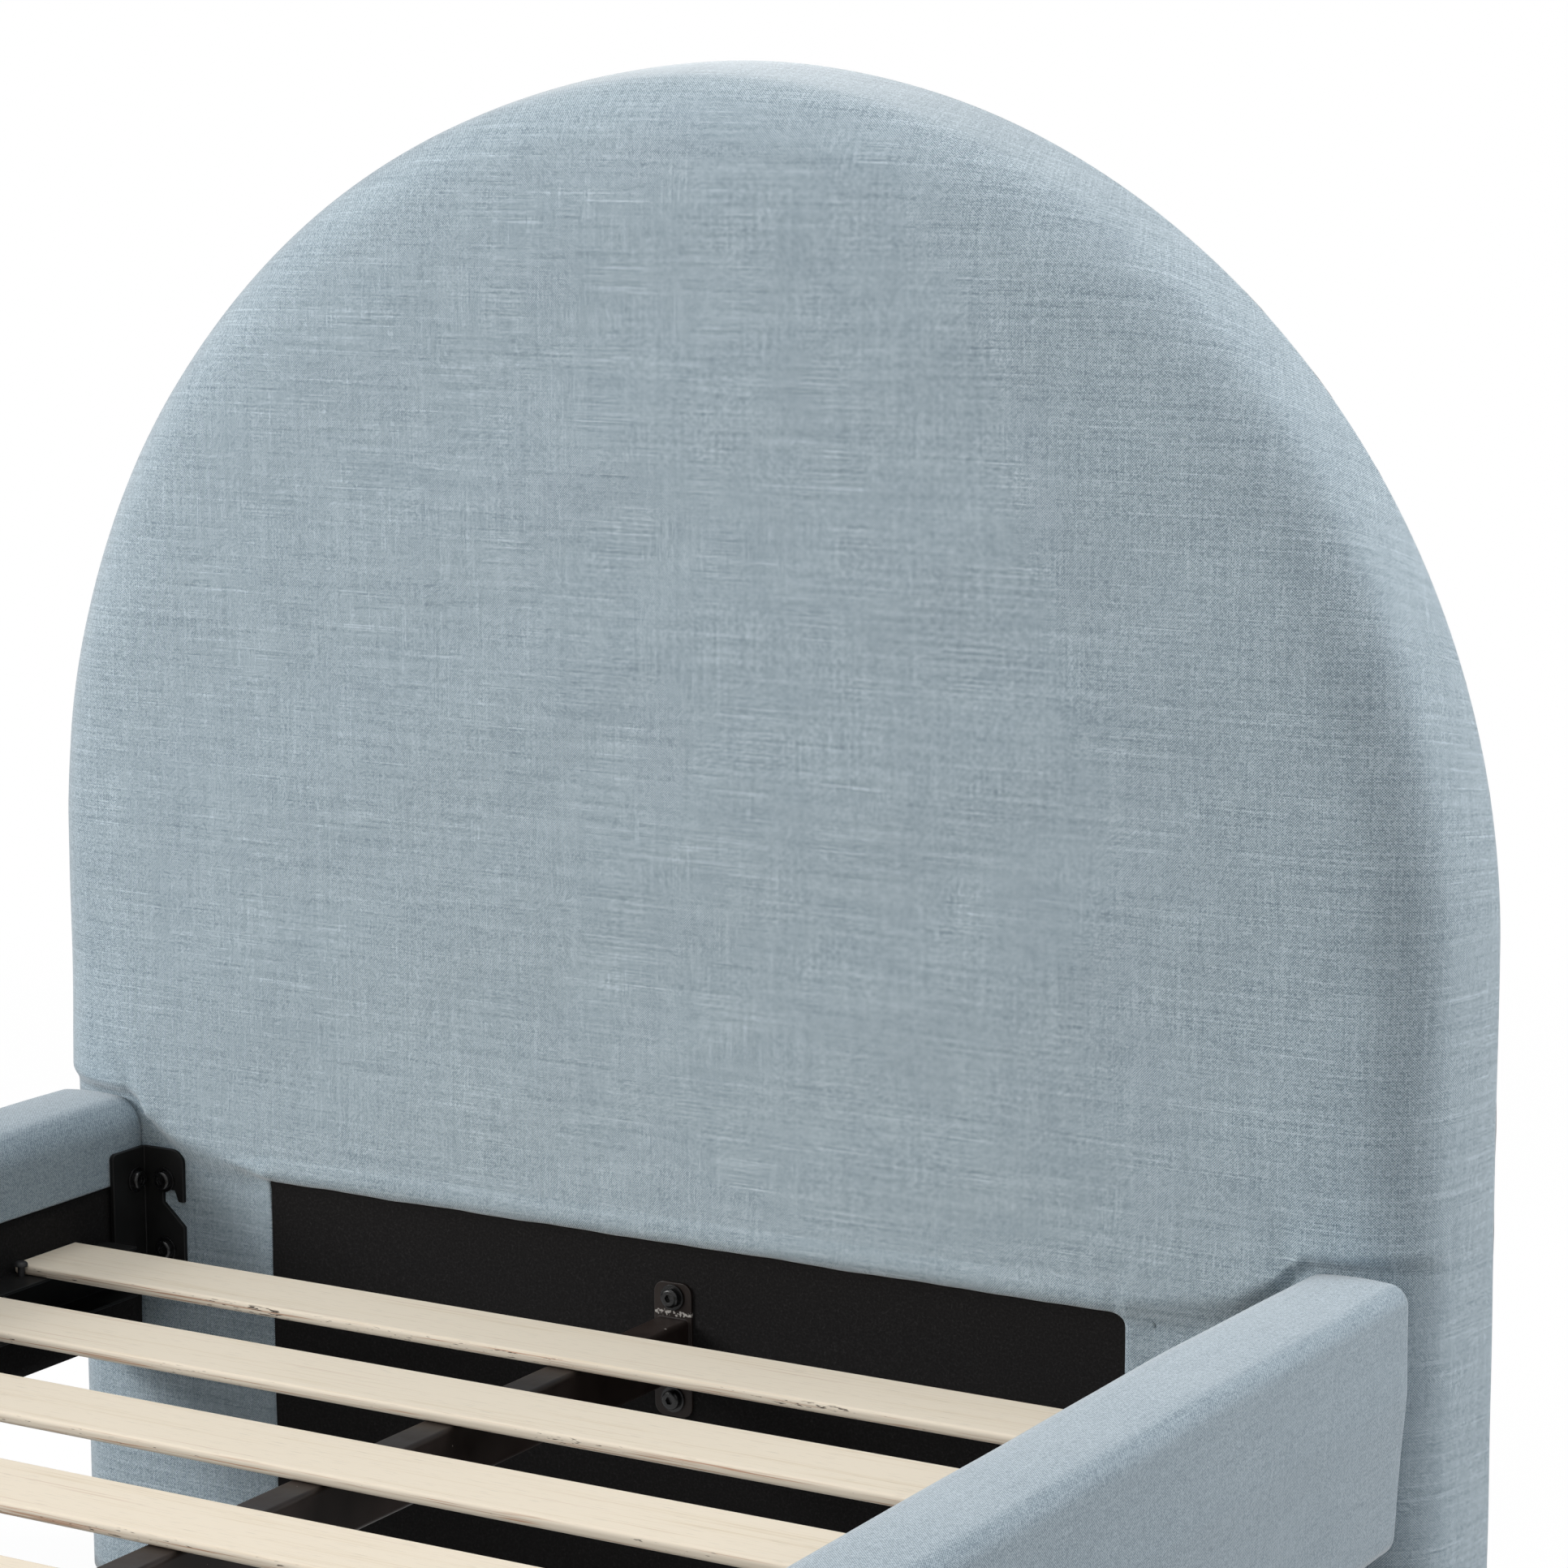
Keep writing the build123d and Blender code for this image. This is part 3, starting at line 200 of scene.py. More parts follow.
def toned(base, share):
    """A colour made lighter or darker by a share."""
    return tuple(share * c for c in base)


def linen_fabric(name, light, dark, slub=1.0, pitch=0.65):
    """Linen-look polyester in plain weave, with slubs along the weft and a soft matt sheen.

    It reads the cloth UV map, in metres along the weft and the warp. Each yarn has its own tone, which
    drifts along it, and the two take turns on top, once in every pitch in mm.
    """
    material, tree, shader = new_material(name)
    cloth = add_node(tree, "UVMap", uv_map="cloth")["UV"]
    yarns = add_node(tree, "VectorMath", {0: cloth, 3: 1000 / pitch}, operation="SCALE")[0]
    cells = add_node(tree, "VectorMath", {0: yarns}, operation="FLOOR")[0]
    along = add_node(tree, "SeparateXYZ", {0: yarns})
    count = add_node(tree, "SeparateXYZ", {0: cells})

    def drift(run, number, far, seed):
        """A tone that changes over far mm along one yarn and jumps from yarn to yarn."""
        down = add_node(tree, "Math", {0: run, 1: pitch / far}, operation="MULTIPLY")[0]
        apart = add_node(tree, "Math", {0: number, 1: 5.37, 2: seed}, operation="MULTIPLY_ADD")[0]
        place = add_node(tree, "CombineXYZ", {0: down, 1: apart})[0]
        inputs = {"Vector": place, "Scale": 1, "Detail": 1}
        return add_node(tree, "TexNoise", inputs, noise_dimensions="2D")["Fac"]

    weft = drift(along["X"], count["Y"], 70, 3)
    warp = drift(along["Y"], count["X"], 55, 71)
    thick = drift(along["X"], count["Y"], 80, 29)
    slubs = add_node(tree, "ValToRGB", {"Fac": thick}, ((0.60, 0.0), (0.78, 1.0)))["Color"]
    over = add_node(tree, "TexChecker", {"Vector": yarns, "Scale": 1})["Fac"]
    fleck = add_node(tree, "TexWhiteNoise", {"Vector": cells}, noise_dimensions="2D")["Value"]
    cloudy = add_node(tree, "TexNoise", {"Vector": yarns, "Scale": 0.02}, noise_dimensions="2D")["Fac"]
    upper = add_node(tree, "Mix", {"Factor": over, "A": warp, "B": weft})[0]
    shades = [
        (upper, 0.42), (weft, 0.50 * slub), (warp, 0.40 * slub), (over, 0.95), (fleck, 0.90), (cloudy, 0.10)
    ]
    total = 0.47 - 0.5 * sum(weight for _, weight in shades)
    for value, weight in (*shades, (slubs, 0.34 * slub)):
        total = add_node(tree, "Math", {0: value, 1: weight, 2: total}, operation="MULTIPLY_ADD")[0]
    tones = {0: total, 6: rgba(dark), 7: rgba(light)}
    plug(tree, shader, {
        "Base Color": add_node(tree, "Mix", tones, data_type="RGBA", clamp_factor=True)[2],
        "Normal": add_node(tree, "Bump", {"Height": total, "Strength": 0.22, "Distance": 0.0005})[0],
        "Roughness": 0.92,
        "Specular IOR Level": 0.18,
        "Sheen Weight": 0.6,
        "Sheen Roughness": 0.4,
    })
    return material


def needled_lining(name, black):
    """Black needled polyester lining: dull, with pale stray fibres and a fine random nap.

    The nap is about 1.4 mm, 700 to the metre, and the mesh of fibres 2.4 mm, 420 to the metre. Both are
    drawn coarser than the real ones, so that they show.
    """
    material, tree, shader = new_material(name)
    place = add_node(tree, "TexCoord")["Object"]
    nap = add_node(tree, "TexNoise", {"Vector": place, "Scale": 700, "Detail": 3})["Fac"]
    mesh = add_node(tree, "TexVoronoi", {"Vector": place, "Scale": 420}, feature="DISTANCE_TO_EDGE")
    strands = add_node(tree, "ValToRGB", {"Fac": mesh["Distance"]}, ((0.0, 1.0), (0.05, 0.0)))["Color"]
    shade = add_node(tree, "Math", {0: strands, 1: 0.25, 2: nap}, operation="MULTIPLY_ADD")[0]
    tones = (0.35, toned(black, 0.65)), (0.62, black), (0.95, toned(black, 2.3))
    plug(tree, shader, {
        "Base Color": add_node(tree, "ValToRGB", {"Fac": shade}, tones)["Color"],
        "Normal": add_node(tree, "Bump", {"Height": nap, "Strength": 0.3, "Distance": 0.0005})[0],
        "Roughness": 0.95,
        "Specular IOR Level": 0.15,
    })
    return material


def slat_veneer(name, light, dark, edge):
    """Sanded veneer: pale face with faint straight grain and pores, glue lines and pits on the edges."""
    material, tree, shader = new_material(name)
    place = add_node(tree, "TexCoord")["Object"]
    normal = add_node(tree, "NewGeometry")["Normal"]
    sides = add_node(tree, "SeparateXYZ", {0: normal})

    def grain(long, wide, thick, detail):
        """Noise stretched along the slat: grain long, wide and thick in mm."""
        stretch = (1000 / long, 1000 / wide, 1000 / thick)
        scaled = add_node(tree, "VectorMath", {0: place, 1: stretch}, operation="MULTIPLY")[0]
        return add_node(tree, "TexNoise", {"Vector": scaled, "Scale": 1, "Detail": detail})["Fac"]

    broad, fine = grain(260, 5, 40, 3), grain(60, 0.9, 10, 2)
    tone = add_node(tree, "Math", {0: broad, 1: 0.6, 2: 0.05}, operation="MULTIPLY_ADD")[0]
    tone = add_node(tree, "Math", {0: fine, 1: 0.5, 2: tone}, operation="MULTIPLY_ADD")[0]
    tones = (0.38, dark), (0.56, light), (0.75, light)
    face = add_node(tree, "ValToRGB", {"Fac": tone}, tones)["Color"]
    blush = grain(150, 2.2, 20, 1)
    blush = add_node(tree, "ValToRGB", {"Fac": blush}, ((0.66, 0.0), (0.78, 0.35)))["Color"]
    face = add_node(tree, "Mix", {0: blush, 6: face, 7: rgba(edge)}, data_type="RGBA")[2]
    pores = grain(14, 0.8, 8, 1)
    pores = add_node(tree, "ValToRGB", {"Fac": pores}, ((0.28, 0.86), (0.36, 1.0)))["Color"]
    face = add_node(tree, "Mix", {0: 1, 6: face, 7: pores}, data_type="RGBA", blend_type="MULTIPLY")[2]
    # Edges: close to the face's tone, with thin broken glue lines and clusters of torn pits.
    lines = grain(70, 30, 0.8, 2)
    lines = add_node(tree, "ValToRGB", {"Fac": lines}, ((0.55, 0.0), (0.66, 0.95)))["Color"]
    tones = {0: lines, 6: rgba(toned(light, 0.90)), 7: rgba(edge)}
    side = add_node(tree, "Mix", tones, data_type="RGBA")[2]
    patches = add_node(tree, "Math", {0: grain(75, 40, 30, 1), 1: 0.45}, operation="MULTIPLY")[0]
    torn = add_node(tree, "Math", {0: grain(7, 5, 0.7, 2), 1: patches}, operation="ADD")[0]
    tones = (0.49, (0.05, 0.035, 0.025)), (0.535, (1, 1, 1))
    pits = add_node(tree, "ValToRGB", {"Fac": torn}, tones)["Color"]
    side = add_node(tree, "Mix", {0: 1, 6: side, 7: pits}, data_type="RGBA", blend_type="MULTIPLY")[2]
    upright = add_node(tree, "Math", {0: sides["Z"]}, operation="ABSOLUTE")[0]
    on_edge = add_node(tree, "ValToRGB", {"Fac": upright}, ((0.45, 1.0), (0.85, 0.0)))["Color"]
    plug(tree, shader, {
        "Base Color": add_node(tree, "Mix", {0: on_edge, 6: face, 7: side}, data_type="RGBA")[2],
        "Normal": add_node(tree, "Bump", {"Height": fine, "Strength": 0.15, "Distance": 0.0003})[0],
        "Roughness": 0.6,
        "Specular IOR Level": 0.3,
    })
    return material


def powder_coat(name, base, chips=0.0, roughness=0.5, scuff=None):
    """Powder-coated steel: fine orange peel, a painted highlight along every edge, and paint chips where
    asked.

    scuff is a height in metres along which the paint is scraped off in a thin ragged band. To the metre,
    900 is an orange peel of about 1.1 mm, 45 smears of 22 mm, 320 chips of 3 mm and 650 rags of 1.5 mm.
    """
    material, tree, shader = new_material(name)
    place = add_node(tree, "TexCoord")["Object"]
    peel = add_node(tree, "TexNoise", {"Vector": place, "Scale": 900, "Detail": 2})["Fac"]
    smear = add_node(tree, "TexNoise", {"Vector": place, "Scale": 45, "Detail": 4})["Fac"]
    flat = add_node(tree, "NewGeometry")["Normal"]
    round_edge = add_node(tree, "Bevel", {"Radius": 0.0009}, samples=6)[0]
    # Painted highlight: wherever the bevelled normal turns from the flat one, at every edge, the coat is
    # made lighter, standing in for light caught on rounded edges.
    turn = add_node(tree, "VectorMath", {0: flat, 1: round_edge}, operation="DOT_PRODUCT")["Value"]
    edge_highlight_mask = add_node(tree, "ValToRGB", {"Fac": turn}, ((0.80, 0.35), (0.985, 0.0)))["Color"]
    tones = (0.3, toned(base, 0.8)), (0.7, toned(base, 1.2))
    coat = add_node(tree, "ValToRGB", {"Fac": smear}, tones)["Color"]
    highlight_tone = rgba(tuple(0.06 + 1.6 * c for c in base))
    edge_lit_coat = add_node(tree, "Mix", {0: edge_highlight_mask, 6: coat, 7: highlight_tone}, data_type="RGBA")[2]
    specks = add_node(tree, "TexNoise", {"Vector": place, "Scale": 320, "Detail": 1})["Fac"]
    chipped = add_node(tree, "ValToRGB", {"Fac": specks}, ((0.80, 0.0), (0.84, chips)))["Color"]
    if scuff:
        height = add_node(tree, "SeparateXYZ", {0: place})["Z"]
        away = add_node(tree, "Math", {0: height, 1: scuff}, operation="SUBTRACT")[0]
        away = add_node(tree, "Math", {0: away}, operation="ABSOLUTE")[0]
        ragged = add_node(tree, "TexNoise", {"Vector": place, "Scale": 650, "Detail": 3})["Fac"]
        near = add_node(tree, "Math", {0: away, 1: 110, 2: ragged}, operation="MULTIPLY_ADD")[0]
        scraped = add_node(tree, "ValToRGB", {"Fac": near}, ((0.50, 0.9), (0.58, 0.0)))["Color"]
        chipped = add_node(tree, "Math", {0: chipped, 1: scraped}, operation="MAXIMUM")[0]
    tones = {0: chipped, 6: edge_lit_coat, 7: rgba(linear("#B5B0AA"))}
    gloss = (0.3, roughness - 0.08), (0.7, roughness + 0.1)
    bump = {"Height": peel, "Strength": 0.12, "Distance": 0.0002, "Normal": round_edge}
    plug(tree, shader, {
        "Base Color": add_node(tree, "Mix", tones, data_type="RGBA")[2],
        "Roughness": add_node(tree, "ValToRGB", {"Fac": smear}, gloss)["Color"],
        "Normal": add_node(tree, "Bump", bump)[0],
        "Specular IOR Level": 0.18,
    })
    return material


def plain_metal(name, base, metallic, roughness):
    """Plated or blackened steel with faint smudges of about 4 mm, 260 to the metre, and softened edges."""
    material, tree, shader = new_material(name)
    place = add_node(tree, "TexCoord")["Object"]
    smudge = add_node(tree, "TexNoise", {"Vector": place, "Scale": 260, "Detail": 3})["Fac"]
    tones = (0.3, toned(base, 0.75)), (0.7, toned(base, 1.2))
    gloss = (0.3, roughness - 0.08), (0.7, roughness + 0.08)
    plug(tree, shader, {
        "Base Color": add_node(tree, "ValToRGB", {"Fac": smudge}, tones)["Color"],
        "Roughness": add_node(tree, "ValToRGB", {"Fac": smudge}, gloss)["Color"],
        "Normal": add_node(tree, "Bevel", {"Radius": 0.0004}, samples=4)[0],
        "Metallic": metallic,
    })
    return material


def long_grain(name, light, dark, stretch, roughness=0.55):
    """Planed or stained wood, plywood or hardboard: growth rings stretched along the grain.

    stretch is how many rings go to a metre along x, y and z: 160 is 6 mm wide, and 5 is 200 mm long.
    """
    material, tree, shader = new_material(name)
    place = add_node(tree, "TexCoord")["Object"]
    scaled = add_node(tree, "VectorMath", {0: place, 1: stretch}, operation="MULTIPLY")[0]
    rings = add_node(tree, "TexNoise", {"Vector": scaled, "Scale": 1, "Detail": 4})["Fac"]
    plug(tree, shader, {
        "Base Color": add_node(tree, "ValToRGB", {"Fac": rings}, ((0.35, dark), (0.6, light)))["Color"],
        "Normal": add_node(tree, "Bump", {"Height": rings, "Strength": 0.15, "Distance": 0.0004})[0],
        "Roughness": roughness,
    })
    return material


def moulded_plastic(name, base):
    """Injection-moulded plastic with a spark-eroded texture, about 0.7 mm, 1500 to the metre.

    The real one is finer; it is drawn coarse enough to show.
    """
    material, tree, shader = new_material(name)
    place = add_node(tree, "TexCoord")["Object"]
    spark = add_node(tree, "TexNoise", {"Vector": place, "Scale": 1500, "Detail": 2})["Fac"]
    tones = (0.3, toned(base, 0.8)), (0.7, toned(base, 1.2))
    plug(tree, shader, {
        "Base Color": add_node(tree, "ValToRGB", {"Fac": spark}, tones)["Color"],
        "Normal": add_node(tree, "Bump", {"Height": spark, "Strength": 0.2, "Distance": 0.0002})[0],
        "Roughness": 0.58,
    })
    return material


def smooth(value, low, high):
    """0 below low, 1 above high, an S-curve between."""
    share = np.clip((value - low) / (high - low), 0, 1)
    return share * share * (3 - 2 * share)


def waves(first, second, size, seed, count=7):
    """Smooth unevenness mostly between -1 and 1: sines of about that size in random directions."""
    chance = np.random.default_rng(seed)
    turn = chance.uniform(0, 2 * np.pi, count)
    pitch = 2 * np.pi / (size * chance.uniform(0.6, 1.8, count))
    phase = chance.uniform(0, 2 * np.pi, count)
    total = sum(
        np.sin((first * np.cos(t) + second * np.sin(t)) * p + f) for t, p, f in zip(turn, pitch, phase)
    )
    return total / np.sqrt(count) / 1.6


def grid_object(name, points, cloth, material, wrap=False):
    """A smooth object from a grid of points, with its cloth UV map; doubles along seams are merged."""
    rows, columns = points.shape[:2]
    index = np.arange(rows * columns).reshape(rows, columns)
    if wrap:
        index = np.hstack([index, index[:, :1]])
    around = [index[:-1, :-1], index[1:, :-1], index[1:, 1:], index[:-1, 1:]]
    faces = np.stack(around, axis=-1).reshape(-1, 4)
    mesh = bpy.data.meshes.new(name)
    mesh.from_pydata(points.reshape(-1, 3).tolist(), [], faces.tolist())
    layer = mesh.uv_layers.new(name="cloth")
    layer.data.foreach_set("uv", cloth.reshape(-1, 2)[faces.reshape(-1)].astype(np.float32).ravel())
    shaped = bmesh.new()
    shaped.from_mesh(mesh)
    bmesh.ops.remove_doubles(shaped, verts=shaped.verts, dist=2e-6)
    bmesh.ops.dissolve_degenerate(shaped, edges=shaped.edges, dist=1e-7)
    bmesh.ops.recalc_face_normals(shaped, faces=shaped.faces)
    shaped.to_mesh(mesh)
    shaped.free()
    mesh.shade_smooth()
    mesh.materials.append(material)
    made = bpy.data.objects.new(name, mesh)
    bpy.context.scene.collection.objects.link(made)
    return made


def round_corners(corners, radii, steps=7):
    """A closed outline through corners, each rounded by an arc of its radius."""
    corners = np.array(corners, float)
    before = np.roll(corners, 1, axis=0) - corners
    after = np.roll(corners, -1, axis=0) - corners
    before /= np.linalg.norm(before, axis=1)[:, None]
    after /= np.linalg.norm(after, axis=1)[:, None]
    half = np.arccos(np.clip((before * after).sum(axis=1), -1, 1)) / 2
    radii = np.array(radii, float)
    middle = before + after
    middle /= np.linalg.norm(middle, axis=1)[:, None]
    centre = corners + middle * (radii / np.sin(half))[:, None]
    start = corners + before * (radii / np.tan(half))[:, None] - centre
    end = corners + after * (radii / np.tan(half))[:, None] - centre
    turn = np.pi - 2 * half
    share = np.linspace(0, 1, steps)
    weight_start = np.sin((1 - share)[None] * turn[:, None]) / np.sin(turn)[:, None]
    weight_end = np.sin(share[None] * turn[:, None]) / np.sin(turn)[:, None]
    arcs = centre[:, None] + weight_start[..., None] * start[:, None] + weight_end[..., None] * end[:, None]
    return arcs.reshape(-1, 2)


def resample(outline, step):
    """A closed outline with extra points so that no span is longer than step, and its running length."""
    closed = np.vstack([outline, outline[:1]])
    spans = np.linalg.norm(np.diff(closed, axis=0), axis=1)
    counts = np.maximum(1, np.ceil(spans / step)).astype(int)
    points = np.vstack([
        closed[i] + (closed[i + 1] - closed[i]) * np.linspace(0, 1, n, endpoint=False)[:, None]
        for i, n in enumerate(counts)
    ])
    run = np.concatenate([[0], np.cumsum(np.linalg.norm(np.diff(points, axis=0), axis=1))])
    return points, run


def headboard_front(x, z, swell):
    """How far the headboard's front stands proud of its plane.

    The foam swells above a line along the black panel's top, over the brackets and over the rails. Short
    creases run from the panel's upper corners and from the rails' inner upper corners.
    """
    across = np.abs(x)
    line = np.interp(
        across, np.array([0, 262, 290, 312, 330, 345, 358, 366, 419, 430]) * mm,
        np.array([258, 258, 258, 262, 268, 279, 291, 297, 299, 299]) * mm,
    )
    width = np.interp(
        across, np.array([0, 262, 300, 330, 350, 366, 430]) * mm, np.array([10, 10, 18, 13, 8, 8, 9]) * mm
    )
    above = smooth(z, line - 0.5 * width, line + 0.8 * width)
    fall = 0.48 + 0.52 * np.exp(-np.clip(z - line, 0, None) / 0.06)
    proud = swell * above * fall
    left, right, rail = window_low.x, window_high.x, rail_low.x
    # How proud, where it starts in x and z, how long, in which direction in degrees, and half how wide.
    creases = (
        (0.0030, left + 0.006, 0.2625, 0.045, 172, 0.0030),
        (-0.0016, left + 0.004, 0.2570, 0.040, 172, 0.0030),
        (-0.0022, right - 0.004, 0.2600, 0.034, 92, 0.0026),
        (0.0010, right + 0.003, 0.2600, 0.030, 92, 0.0030),
        (-0.0030, rail - 0.002, 0.2900, 0.060, 97, 0.0070),
        (-0.0034, -rail + 0.001, 0.2880, 0.048, 112, 0.0055),
        (0.0018, -rail + 0.013, 0.2860, 0.050, 118, 0.0060),
    )
    for height, start_x, start_z, long, degrees, half_width in creases:
        turn = np.radians(degrees)
        reach = (x - start_x) * np.cos(turn) + (z - start_z) * np.sin(turn)
        aside = (z - start_z) * np.cos(turn) - (x - start_x) * np.sin(turn)
        fold = np.exp(-(aside / half_width) ** 2) * smooth(reach, -0.004, 0.004) * smooth(-reach, -long, 0)
        proud = proud + height * fold
    return proud


def edge_section(thick):
    """The headboard's rounded edge, from front to back: how far in, how far back and how steep.

    The cloth's tilt is given along its run and summed up: the front falls away softly, rolls over the
    foam, bends over the hard frame's edge and runs nearly straight to the back.
    """
    blur, columns = 34, 92
    run = np.linspace(0, 0.138, 1100)
    tilt = np.radians(np.interp(run, np.array([0, 42, 80, 90, 138]) * mm, [0, 9, 56, 77, 88.5]))
    window = np.hanning(2 * blur + 3)[1:-1]
    tilt = np.convolve(np.pad(tilt, blur, mode="edge"), window / window.sum(), mode="valid")
    back = np.cumsum(np.sin(tilt)) * run[1]
    inward = -np.cumsum(np.cos(tilt)) * run[1]
    pick = np.linspace(0, np.searchsorted(back, thick) - 1, columns).astype(int)
    return inward[pick] - inward[pick[-1]], back[pick] * thick / back[pick[-1]], tilt[pick]


def arch_rows(rise, count):
    """Grid rows round the headboard: up the right side, over the arch, down the left side.

    Each row starts on the middle line, at its level, and runs out in its own direction. The sides have
    rows at the heights in rise, and the arch has count with its two ends.
    """
    angle = np.linspace(0, np.pi, count)[1:-1]
    level = np.concatenate([rise, np.full(count - 2, rise[-1]), rise[::-1]])[:, None]
    out_x = np.concatenate([np.ones_like(rise), np.cos(angle), -np.ones_like(rise)])[:, None]
    out_z = np.concatenate([np.zeros_like(rise), np.sin(angle), np.zeros_like(rise)])[:, None]
    return level, out_x, out_z


class BED_OT_headboard_cover(bpy.types.Operator):
    """Makes the headboard's fabric cover over its foam"""

    bl_idname = "bed.headboard_cover"
    bl_label = "Headboard cover"

    def execute(self, context):
        sizes = context.scene.bed_upholstery
        half, arch = sizes.half_width, sizes.arch_rise
        front, back, bottom, spring = head_low.y, head_high.y, head_low.z, sizes.spring_height
        # Rows are closer between these heights, round the brackets and the black panel's upper edge.
        low, high = 0.235, 0.33
        rise = np.concatenate([
            np.linspace(bottom, low, 28), np.linspace(low, high, 60)[1:], np.linspace(high, spring, 16)[1:]
        ])
        level, out_x, out_z = arch_rows(rise, 180)
        # Across the section: the front from the middle line out, round the edge, and over the back.
        edge_in, edge_deep, tilt = edge_section(back - front - back_fold)
        finer = 0.18
        flat = np.concatenate([np.linspace(half, finer, 31), np.linspace(finer, edge_in[0], 24)[1:-1]])
        corner = np.linspace(0, np.pi / 2, 5)[1:]
        behind = np.linspace(back_fold, half, 14)[1:]
        inward = np.concatenate([flat, edge_in, back_fold * (1 - np.cos(corner)), behind])
        deep = np.concatenate([
            np.full(len(flat), front), front + edge_deep, back - back_fold + back_fold * np.sin(corner),
            np.full(len(behind), back),
        ])
        facing = np.concatenate([np.ones(len(flat)), np.cos(tilt), np.zeros(len(corner) + len(behind))])
        reach = half - inward
        run = np.concatenate([[0], np.cumsum(np.hypot(np.diff(reach), np.diff(deep)))])
        x = out_x * reach
        z = level + out_z * reach * (arch / half)
        y = deep - headboard_front(x, z, sizes.swell) * facing
        uneven = waves(x, z, 0.16, 5) * 0.0007 + waves(x, z, 0.06, 6) * 0.00025
        y = y + uneven * facing * smooth(z, window_high.z + 0.02, window_high.z + 0.07)
        pull = waves(level + out_x * 0.3, deep * 2, 0.12, 8) * 0.0003 * (1 - facing)
        pull = pull * smooth(-inward, -0.06, -0.01)
        x, z = x + out_x * pull, z + out_z * pull
        points = np.stack([x, y, z], axis=-1)
        cloth = np.stack([out_x * run, level + out_z * run], axis=-1)
        # Both open lower ends close on one point under the middle.
        closing = np.broadcast_to((0, (front + back) / 2, bottom), points[:1].shape)
        points = np.concatenate([closing, points, closing])
        cloth = np.concatenate([cloth[:1], cloth, cloth[-1:]])
        fabric = linen_fabric("linen_weave_headboard", sizes.fabric_light, sizes.fabric_dark, slub=1.2)
        cover = grid_object("headboard_upholstery", points, cloth, fabric)
        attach(cover, "bed_frame")
        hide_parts("headboard_cover", "headboard_foam")
        hem = self.window_hem(sizes, fabric)
        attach(hem, "bed_frame")
        return {"FINISHED"}

    def window_hem(self, sizes, fabric):
        """The cover's folded edge round the black panel: a low lip, steep inside, flat outside."""
        low, high = window_low, window_high
        corners = [(low.x, low.z), (high.x, low.z), (high.x, high.z), (low.x, high.z)]
        outline, _ = resample(round_corners(corners, [0.004, 0.006, 0.009, 0.0025]), 0.0025)
        ahead = np.roll(outline, -1, axis=0) - np.roll(outline, 1, axis=0)
        ahead /= np.linalg.norm(ahead, axis=1)[:, None]
        outward = np.stack([ahead[:, 1], -ahead[:, 0]], axis=1)
        spread = np.array([-1.0, -1.3, -0.7, 0.6, 3.0, 6.0, 10.0, 14.0, 17.0, 10.0, 3.0, 0.0]) * mm
        height = np.array([-0.2, 0.5, 1.2, 1.5, 1.25, 0.8, 0.3, 0.02, -0.4, -0.8, -0.8, -0.8]) * mm
        # Along the top the fold is fuller and wanders by about a millimetre.
        top = smooth(outline[:, 1:], high.z - 0.02, high.z)
        wander = (0.35 + 0.5 * top) * mm * waves(outline[:, :1], outline[:, 1:], 0.045, 12, 9)
        spread = spread[None] + wander * np.exp(-np.abs(spread[None]) / 0.004)
        x = outline[:, :1] + outward[:, :1] * spread
        z = np.maximum(outline[:, 1:] + outward[:, 1:] * spread, head_low.z + 0.0005)
        y = head_low.y - height * (0.75 + 0.5 * top) - headboard_front(x, z, sizes.swell)
        points = np.stack([x, y, z], axis=-1)
        points = np.concatenate([points, points[:1]])
        cloth = np.stack([points[..., 0], points[..., 2]], axis=-1)
        return grid_object("window_hem", points, cloth, fabric, wrap=True)


def rail_outline(sizes):
    """A rail's closed section, domed on top: distance out from its inner face, height above its bottom."""
    wide, tall = rail_high.x - rail_low.x, rail_high.z - rail_low.z
    step, shoulder = tall - sizes.flap, tall - 0.001
    corners = [
        (sizes.recess, 0.0), (wide - 0.006, 0.0), (wide, 0.082), (wide, shoulder), (0.0, shoulder),
        (0.0, step), (sizes.recess, step),
    ]
    outline, run = resample(
        round_corners(corners, [0.002, 0.010, 0.060, 0.009, 0.016, 0.0016, 0.0012], steps=9), 0.006
    )
    dome = sizes.crown * smooth(outline[:, 1], tall - 0.02, shoulder)
    dome = dome * np.sin(np.pi * np.clip(outline[:, 0] / wide, 0, 1))
    return outline + np.stack([np.zeros_like(dome), dome], axis=1), run


